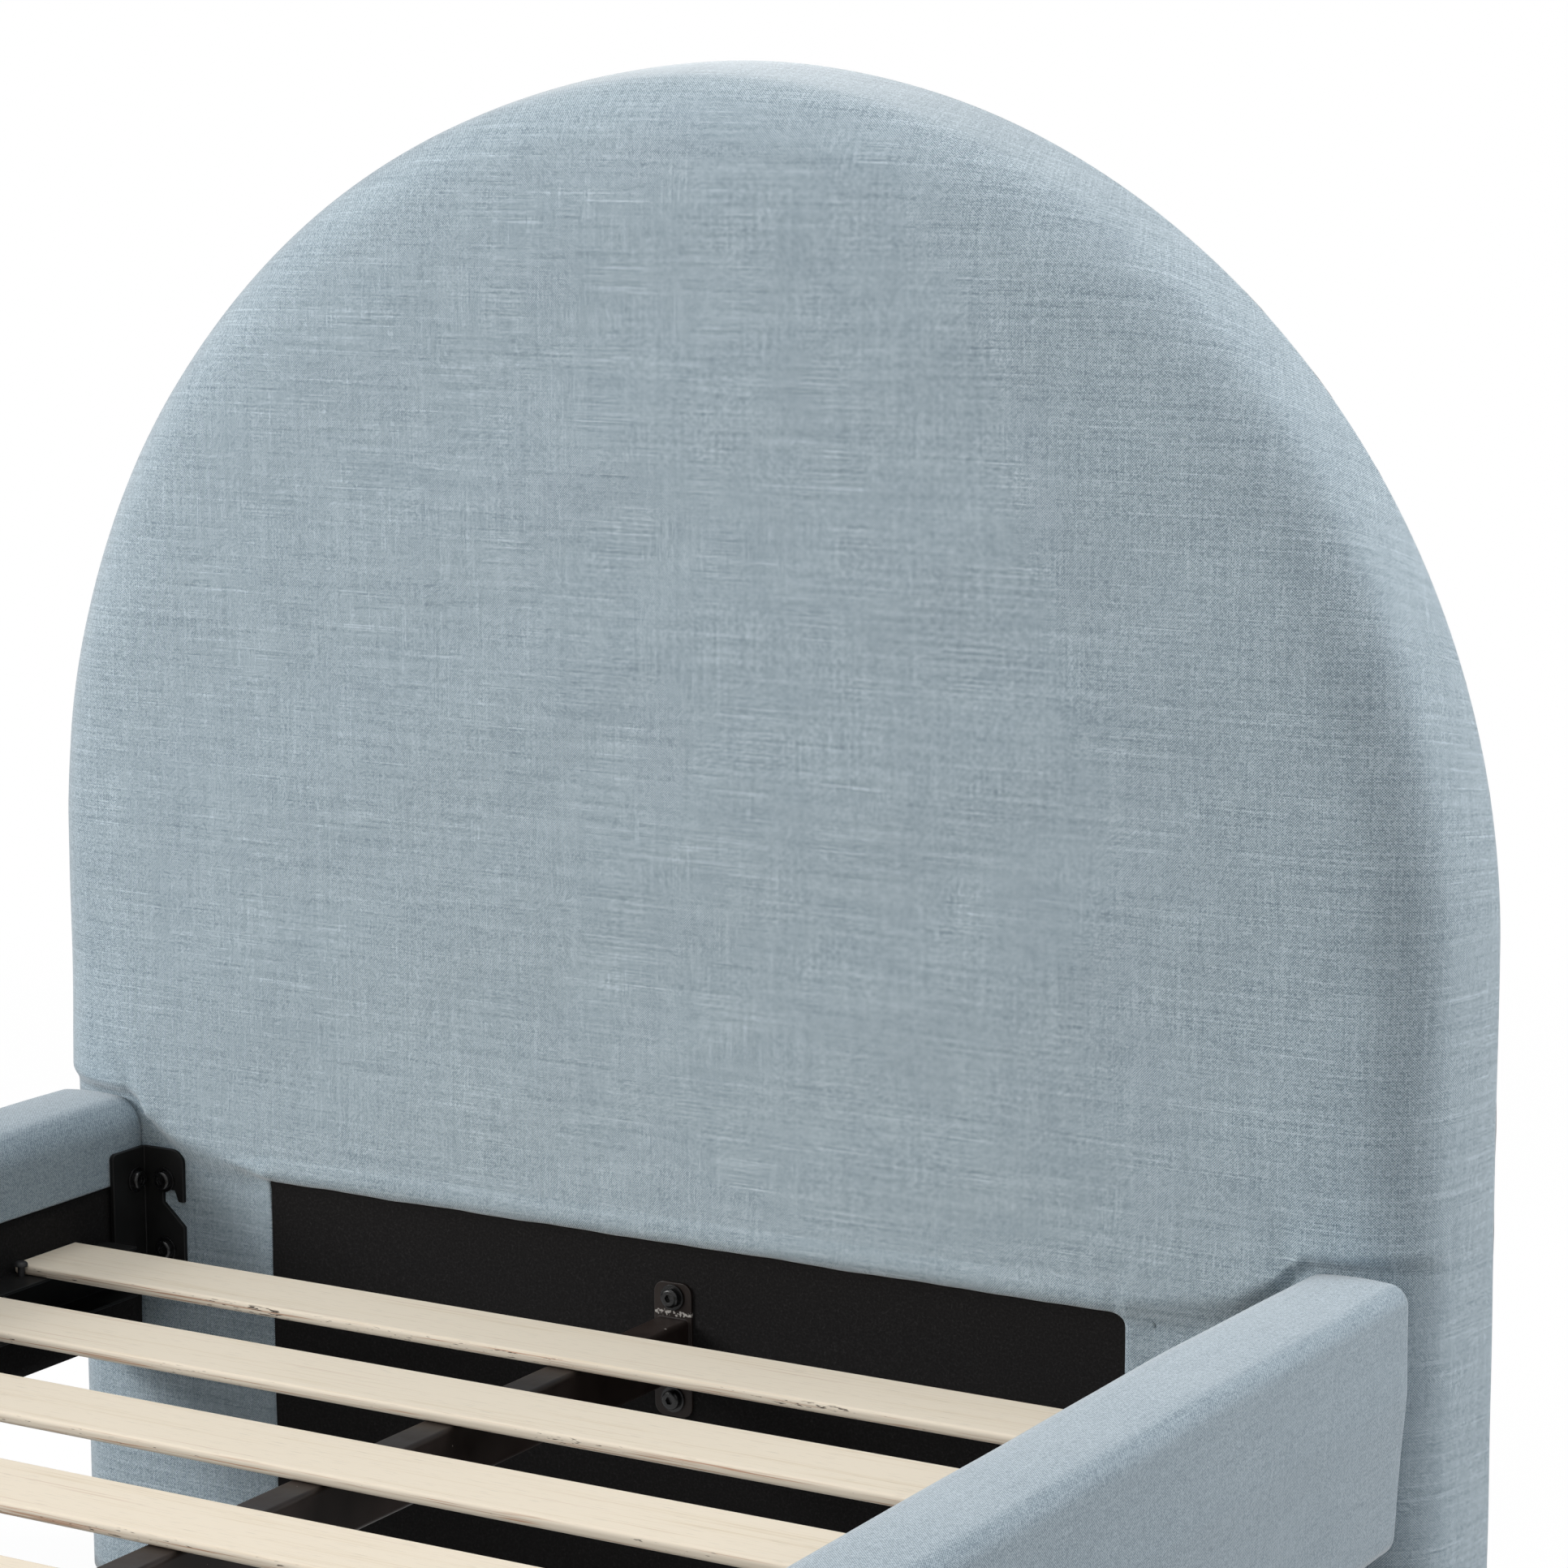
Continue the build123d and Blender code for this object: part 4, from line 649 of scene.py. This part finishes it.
def padded_rail(name, sizes, material, length_, place, seed):
    """A rail's section carried along its length, its ends drawn in by a small roll and closed flat.

    place turns (along, out, up) into the bed's frame.
    """
    section, run = rail_outline(sizes)
    middle = np.array([0.030, 0.068])
    end, draw_in = 0.004, 0.0035
    roll = np.linspace(0, np.pi / 2, 7)
    count = int(length_ / rail_row_step)
    # Three rings fill each flat end, from its middle out; then the roll, the length and the far end.
    along = np.concatenate([
        np.zeros(3), end * (1 - np.cos(roll)), np.linspace(end, length_ - end, count)[1:-1],
        length_ - end * (1 - np.cos(roll[::-1])), np.full(3, length_),
    ])[:, None]
    drawn = np.concatenate([
        np.ones(3), 1 - np.sin(roll), np.zeros(count - 2), 1 - np.sin(roll[::-1]), np.ones(3)
    ])[:, None]
    shrink = np.concatenate([[0.0, 0.55, 0.93], np.ones(len(along) - 6), [0.93, 0.55, 0.0]])[:, None]
    from_middle = section - middle
    reach = np.linalg.norm(from_middle, axis=1)
    uneven = waves(along, run[None], 0.11, seed) * 0.0007
    uneven = uneven + waves(along, run[None], 0.3, seed + 1) * 0.0008
    padded = smooth(section[:, 1], 0.085, 0.10) + smooth(section[:, 0], 0.02, 0.04)
    scale = shrink * (1 - drawn * draw_in / reach) * (1 + uneven * np.clip(padded, 0, 1) / reach)
    out = middle[0] + from_middle[:, 0] * scale
    up = middle[1] + from_middle[:, 1] * scale
    along = np.broadcast_to(along, out.shape)
    points = place(along, out, up)
    cloth = np.stack([along, np.broadcast_to(run, out.shape)], axis=-1)
    # The flat ends carry the weave square on, so their outer ring is there twice with two cloth places.
    square = np.stack([out, up], axis=-1)
    points = np.concatenate([points[:4], points[3:-3], points[-4:]])
    cloth = np.concatenate([square[:4], cloth[3:-3], square[-4:]])
    return grid_object(name, points, cloth, material, wrap=True)


class BED_OT_rail_covers(bpy.types.Operator):
    """Makes both side rails' padded covers"""

    bl_idname = "bed.rail_covers"
    bl_label = "Side rail covers"

    def execute(self, context):
        sizes = context.scene.bed_upholstery
        # The headboard's cloth in darker colours, which paint in shade on the rails.
        fabric = linen_fabric("linen_weave_rails_shaded", sizes.rail_shaded_light, sizes.rail_shaded_dark, slub=0.35)
        for side, sign in (("right", 1), ("left", -1)):
            def place(along, out, up, sign=sign):
                return np.stack([sign * (rail_low.x + out), rail_high.y - along, rail_low.z + up], axis=-1)
            rail = padded_rail(
                f"rail_upholstery_{side}", sizes, fabric, rail_high.y - rail_low.y, place, 20 + sign
            )
            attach(rail, "bed_frame")
            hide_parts(f"rail_cover_{side}", f"rail_padding_{side}")
        return {"FINISHED"}


class BED_OT_footboard_cover(bpy.types.Operator):
    """Makes the footboard's padded cover"""

    bl_idname = "bed.footboard_cover"
    bl_label = "Footboard cover"

    def execute(self, context):
        sizes = context.scene.bed_upholstery
        # The headboard's cloth in darker colours, which paint in shade on the footboard.
        fabric = linen_fabric("linen_weave_footboard_shaded", sizes.rail_shaded_light, sizes.rail_shaded_dark, slub=0.35)

        def place(along, out, up):
            return np.stack([foot_high.x - along, foot_high.y - out, foot_low.z + up], axis=-1)

        board = padded_rail("footboard_upholstery", sizes, fabric, foot_high.x - foot_low.x, place, 41)
        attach(board, "bed_frame")
        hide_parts("footboard_cover", "footboard_padding")
        return {"FINISHED"}


def thin_sheet(name, face, back, cloth, material, open_start=False):
    """A closed thin sheet from two like grids, its face and its back, joined round their border.

    open_start leaves the first column unjoined, where a sheet's two halves meet on a middle line.
    """
    middle = (face + back) / 2
    closed, middle, flat = [
        np.concatenate([first, second[::-1], first[:1]])
        for first, second in ((face, back), (middle, middle), (cloth, cloth))
    ]
    closed = np.concatenate([middle[:, :1], closed, middle[:, -1:]], axis=1)
    flat = np.concatenate([flat[:, :1], flat, flat[:, -1:]], axis=1)
    if open_start:
        closed, flat = closed[:, 1:], flat[:, 1:]
    return grid_object(name, closed, flat, material)


class BED_OT_linings(bpy.types.Operator):
    """Makes the black linings of the headboard, rails and footboard"""

    bl_idname = "bed.linings"
    bl_label = "Black linings"

    def execute(self, context):
        sizes = context.scene.bed_upholstery
        black = needled_lining("black_needled_lining", sizes.lining_black)
        # Headboard window: a flat sheet just proud of the cover that runs on behind it.
        x = np.linspace(window_low.x - window_overlap, window_high.x + window_overlap, 110)
        z = np.linspace(window_low.z - window_overlap, window_high.z + window_overlap, 52)
        grid_x, grid_z = np.meshgrid(x, z)
        edge = np.minimum.reduce([
            grid_x - x[0], x[-1] - grid_x, grid_z - z[0], z[-1] - grid_z
        ])
        puff = smooth(edge, 0.004, 0.05) * (waves(grid_x, grid_z, 0.12, 61) - 1) * 0.0003
        lift = headboard_front(grid_x, grid_z, sizes.swell)
        y = head_low.y - 0.0005 + puff - lift
        face = np.stack([grid_x, y, grid_z], axis=-1)
        back = face + np.array([0, sheet_thickness, 0])
        cloth = np.stack([grid_x, grid_z], axis=-1)
        window = thin_sheet("headboard_window", face, back, cloth, black)
        wide, tall = x[-1] - x[0], z[-1] - z[0]
        self.dress(window, (wide, tall), "stretched", ["headboard_upholstery"], ["headboard_front_lining"])
        self.back_lining(sizes, black)
        self.rail_linings(sizes, black)
        return {"FINISHED"}

    def dress(self, sheet, flat, held, carrier, nodes, area=None):
        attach(sheet, "bed_frame")
        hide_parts(*nodes)

    def back_lining(self, sizes, black):
        """The headboard's back: an arched sheet whose border is stapled down, so it puckers a little."""
        margin = 0.0016
        half, arch = sizes.half_width - margin, sizes.arch_rise - margin
        spring = sizes.spring_height
        level, out_x, out_z = arch_rows(np.linspace(lining_low.z, spring, 44), 122)
        reach = half * np.concatenate([np.linspace(0, 0.94, 30), np.linspace(0.955, 1, 6)])
        x = out_x * reach
        z = level + out_z * reach * (arch / half)
        steps = np.hypot(np.diff(level + out_z * half, axis=0), np.diff(out_x * half, axis=0))
        run = np.cumsum(np.vstack([[[0]], steps]), axis=0)
        edge = half - reach[None]
        pucker = np.sin(2 * np.pi * run / 0.055) * np.exp(-edge / 0.012) * 0.0006
        y = head_high.y + 0.0010 + pucker - 0.0006 * smooth(edge, 0.02, 0.2)
        face = np.stack([x, np.minimum(y, lining_high.y + 0.001), z], axis=-1)
        back = face - np.array([0, sheet_thickness, 0])
        cloth = np.stack([x, z], axis=-1)
        sheet = thin_sheet("headboard_back_sheet", face, back, cloth, black, open_start=True)
        tall = spring + arch - lining_low.z
        area = 2 * half * (spring - lining_low.z) + np.pi * half * arch / 2
        self.dress(
            sheet, (2 * half, tall), "stretched", ["headboard_upholstery"], ["headboard_back_lining"],
            area=area,
        )

    def rail_linings(self, sizes, black):
        """Each strip runs from the flap's fold down a rail's inner face and a little way in underneath."""
        tall = rail_lining_high.z - rail_lining_low.z
        under = rail_lining_high.x - rail_lining_low.x
        down = np.concatenate([np.linspace(tall - 0.0005, 0.0, 16), np.zeros(6)])
        out = np.concatenate([np.zeros(16), np.linspace(0.002, under, 6)])
        # How far a strip lies in front of the padding and below its own line.
        ahead, lower = 0.0008, 0.0006

        def strip(name, span, place, nodes, carrier, seed, short=0.002):
            along = np.linspace(short, span - short, int(span / rail_row_step))[:, None]
            loose = waves(along, down[None], 0.14, seed) * 0.0004 * smooth(down, 0.004, 0.03)
            off = sizes.recess - ahead + out[None] + loose
            high = np.broadcast_to(down, off.shape)
            skin = np.where(out[None] > 0, 0.0, strip_thickness)
            drop = np.where(out[None] > 0, strip_thickness, 0.0)
            run = np.broadcast_to(along, off.shape)
            face = place(run, off, high - lower)
            back = place(run, off + skin, high - lower + drop)
            cloth = np.stack([run, high + off], axis=-1)
            sheet = thin_sheet(name, face, back, cloth, black)
            self.dress(sheet, (span - 2 * short, tall + under), "stretched", [carrier], nodes)

        for side, sign in (("right", 1), ("left", -1)):
            def place(along, out_, up, sign=sign):
                return np.stack(
                    [sign * (rail_low.x + out_), rail_high.y - along, rail_lining_low.z + up], axis=-1
                )
            strip(
                f"rail_lining_strip_{side}", rail_high.y - rail_low.y, place, [f"rail_lining_{side}"],
                f"rail_upholstery_{side}", 70 + sign,
            )

        def foot_place(along, out_, up):
            return np.stack([foot_high.x - along, foot_high.y - out_, rail_lining_low.z + up], axis=-1)

        strip(
            "footboard_lining_strip", foot_high.x - foot_low.x, foot_place, ["footboard_lining"],
            "footboard_upholstery", 81, short=0.012,
        )


def dress_nodes(material, *names):
    """Gives CAD nodes one material."""
    for name in names:
        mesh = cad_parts[name].data
        mesh.materials.clear()
        mesh.materials.append(material)


class BED_OT_slats(bpy.types.Operator):
    """Finishes the slats, their pegs and the other nylon pieces"""

    bl_idname = "bed.slats"
    bl_label = "Slats"

    def execute(self, context):
        tones = context.scene.bed_timber
        veneer = slat_veneer("birch_veneer_slat", tones.veneer_light, tones.veneer_dark, tones.veneer_edge)
        nylon = moulded_plastic("black_nylon", linear("#1A1A1B"))
        dress_nodes(veneer, *[f"slat_{number:02d}" for number in range(1, slat_count + 1)])
        dress_nodes(nylon, "slat_pegs", "floor_glides", "leg_insert")
        return {"FINISHED"}


class BED_OT_steelwork(bpy.types.Operator):
    """Finishes brackets, ledgers, centre beam and leg, bolts and nuts"""

    bl_idname = "bed.steelwork"
    bl_label = "Steelwork"

    def execute(self, context):
        tones = context.scene.bed_steel
        black = powder_coat("black_powder_coat", tones.black_coat, roughness=0.42)
        brown = powder_coat(
            "brown_powder_coat", tones.brown_coat, chips=0.9, roughness=0.42, scuff=plate_scuff
        )
        bolt = plain_metal("black_oxide_steel", tones.bolt_black, 0.2, 0.30)
        zinc = plain_metal("zinc_plated_steel", linear("#B9B9B4"), 1.0, 0.35)
        corners = [f"{end}_bracket_{side}" for end in ("head", "foot") for side in ("left", "right")]
        dress_nodes(black, *corners, "ledger_left", "ledger_right")
        dress_nodes(brown, "center_beam", "center_leg")
        dress_nodes(
            bolt, "headboard_bracket_bolts", "footboard_bracket_bolts", "rail_bracket_bolts", "beam_bolts",
            "bolt_washers", "levelling_foot",
        )
        dress_nodes(
            zinc, "headboard_tee_nuts", "rail_insert_nuts", "footboard_insert_nuts", "ledger_screws",
            "center_leg_screws", "leg_studs", "lock_nut",
        )
        return {"FINISHED"}


class BED_OT_timber(bpy.types.Operator):
    """Finishes the foot end's legs and the hidden timber"""

    bl_idname = "bed.timber"
    bl_label = "Legs and inner timber"

    def execute(self, context):
        dark = context.scene.bed_timber.leg_stain
        pine = linear("#DDBD8C"), linear("#B98B55")
        poplar = linear("#D9BF94"), linear("#BC9A68")
        stain = long_grain("black_stained_beech", toned(dark, 1.6), dark, (500, 500, 14), 0.4)
        pine_up = long_grain("planed_pine_upright", *pine, (160, 160, 5))
        pine_level = long_grain("planed_pine_level", *pine, (5, 160, 160))
        ply_long = long_grain("poplar_plywood_long", *poplar, (400, 4, 400))
        ply_level = long_grain("poplar_plywood_level", *poplar, (4, 400, 400))
        hardboard = long_grain("pressed_hardboard", linear("#8A6540"), linear("#5E4025"), (900, 900, 900))
        dress_nodes(stain, "footboard_leg_left", "footboard_leg_right")
        dress_nodes(pine_up, "headboard_stile_left", "headboard_stile_right")
        dress_nodes(pine_level, "headboard_bottom_rail", "headboard_middle_rail")
        dress_nodes(ply_long, "rail_board_left", "rail_board_right")
        dress_nodes(ply_level, "footboard_board", "headboard_arch_rib")
        dress_nodes(hardboard, "headboard_face_panel")
        return {"FINISHED"}


class BED_OT_stage(bpy.types.Operator):
    """Makes the camera, soft lights, pale floor and white backdrop"""

    bl_idname = "bed.stage"
    bl_label = "Studio"

    def execute(self, context):
        studio = context.scene.bed_studio
        self.camera(context, studio)
        self.floor(studio)
        head, side, slats = (0, 0.6, 0.45), (0.43, 0.68, 0.5), (-0.2, 0.35, 0.2)
        right, low_right = studio.right_power, 0.3 * studio.right_power
        self.lamp(context, "key_light", (-2.05, -1.55, 1.4), head, (1.1, 1.0), studio.key_power)
        self.lamp(context, "top_light", (-0.2, 0.35, 3.5), slats, (2.6, 0.9), studio.top_power)
        self.lamp(context, "right_light", (1.7, 1.6, 1.6), side, (1.5, 1.5), right)
        self.lamp(context, "low_right_light", (1.85, 1.35, 0.9), side, (0.9, 1.3), low_right)
        self.world(context, studio)
        context.scene.view_settings.view_transform = "Standard"
        return {"FINISHED"}

    def camera(self, context, studio):
        """The photograph's view, its axes written as rows of the camera's turn."""
        right = Vector((0.857335, 0.514741, -0.004228))
        up = Vector((-0.079563, 0.140622, 0.986861))
        backward = Vector((0.508573, -0.845734, 0.161514))
        turn = Matrix((right, up, backward)).transposed().to_4x4()
        data = bpy.data.cameras.new("bed_camera")
        data.lens, data.sensor_width, data.sensor_fit = studio.lens, 36, "HORIZONTAL"
        data.clip_start, data.clip_end = 0.05, 50
        camera = bpy.data.objects.new("bed_camera", data)
        camera.matrix_world = Matrix.Translation(studio.camera_place) @ turn
        context.scene.collection.objects.link(camera)
        context.scene.camera = camera

    def floor(self, studio):
        """A wide pale floor; seen directly it is white, and near the bed it keeps a soft shadow."""
        edge = np.linspace(-6, 6, 9)
        grid_x, grid_y = np.meshgrid(edge, edge)
        points = np.stack([grid_x, grid_y, np.zeros_like(grid_x)], axis=-1)
        material, tree, shader = new_material("pale_studio_floor")
        seen = seen_directly(tree)
        tones = {0: seen, 6: rgba(studio.floor_colour), 7: (0.95, 0.95, 0.95, 1)}
        tone = add_node(tree, "Mix", tones, data_type="RGBA")[2]
        plug(tree, shader, {"Base Color": tone, "Roughness": 0.9})
        # The share of plain white grows from 0.92 at 1 m from the bed's middle to 1 at 2.8 m.
        place = add_node(tree, "TexCoord")["Object"]
        away = add_node(tree, "VectorMath", {0: place}, operation="LENGTH")["Value"]
        white = add_node(tree, "MapRange", {0: away, 1: 1.0, 2: 2.8, 3: 0.92, 4: 1.0})[0]
        share = add_node(tree, "Math", {0: seen, 1: white}, operation="MULTIPLY")[0]
        glow = add_node(tree, "Emission", {"Color": (1, 1, 1, 1), "Strength": 1.0})[0]
        mixed = add_node(tree, "MixShader", {0: share, 1: shader.outputs[0], 2: glow})[0]
        plug(tree, tree.nodes["Material Output"], {"Surface": mixed})
        floor = grid_object("studio_floor", points, points[..., :2], material)

    def lamp(self, context, name, place, aim, size, watts):
        """A soft rectangular light at place, turned to aim."""
        data = bpy.data.lights.new(name, "AREA")
        data.shape, data.size, data.size_y, data.energy = "RECTANGLE", size[0], size[1], watts
        lamp = bpy.data.objects.new(name, data)
        lamp.location = place
        lamp.rotation_euler = (Vector(aim) - Vector(place)).to_track_quat("-Z", "Y").to_euler()
        context.scene.collection.objects.link(lamp)

    def world(self, context, studio):
        """White where the camera or a reflection looks, an even soft grey as light."""
        world = bpy.data.worlds.new("white_studio")
        world.use_nodes = True
        context.scene.world = world
        tree = world.node_tree
        even = add_node(tree, "Background", {"Color": (1, 1, 1, 1), "Strength": studio.ambient})[0]
        white = add_node(tree, "Background", {"Color": (1, 1, 1, 1), "Strength": 1.0})[0]
        mixed = add_node(tree, "MixShader", {0: seen_directly(tree), 1: even, 2: white})[0]
        plug(tree, tree.nodes["World Output"], {"Surface": mixed})


class BED_PT_looks(bpy.types.Panel):
    """The bed's looks in the sidebar"""

    bl_idname = "BED_PT_looks"
    bl_label = "Toddler bed"
    bl_space_type = "VIEW_3D"
    bl_region_type = "UI"
    bl_category = "Bed"

    def draw(self, context):
        for group, scene_name in GROUPS.items():
            for name in group.__annotations__:
                self.layout.prop(getattr(context.scene, scene_name), name)
        for operator in OPERATORS:
            self.layout.operator(operator.bl_idname)


GROUPS = {
    BedUpholstery: "bed_upholstery",
    BedTimber: "bed_timber",
    BedSteel: "bed_steel",
    BedStudio: "bed_studio",
}
OPERATORS = (
    BED_OT_headboard_cover, BED_OT_rail_covers, BED_OT_footboard_cover, BED_OT_linings, BED_OT_slats,
    BED_OT_steelwork, BED_OT_timber, BED_OT_stage,
)


def register():
    for made in (*GROUPS, *OPERATORS, BED_PT_looks):
        bpy.utils.register_class(made)
    for group, name in GROUPS.items():
        setattr(bpy.types.Scene, name, PointerProperty(type=group))


def unregister():
    for name in GROUPS.values():
        delattr(bpy.types.Scene, name)
    for made in reversed((*GROUPS, *OPERATORS, BED_PT_looks)):
        bpy.utils.unregister_class(made)


def main():
    register()
    bpy.ops.bed.headboard_cover()
    bpy.ops.bed.rail_covers()
    bpy.ops.bed.footboard_cover()
    bpy.ops.bed.linings()
    bpy.ops.bed.slats()
    bpy.ops.bed.steelwork()
    bpy.ops.bed.timber()
    bpy.ops.bed.stage()


if __name__ == "__main__":
    main()
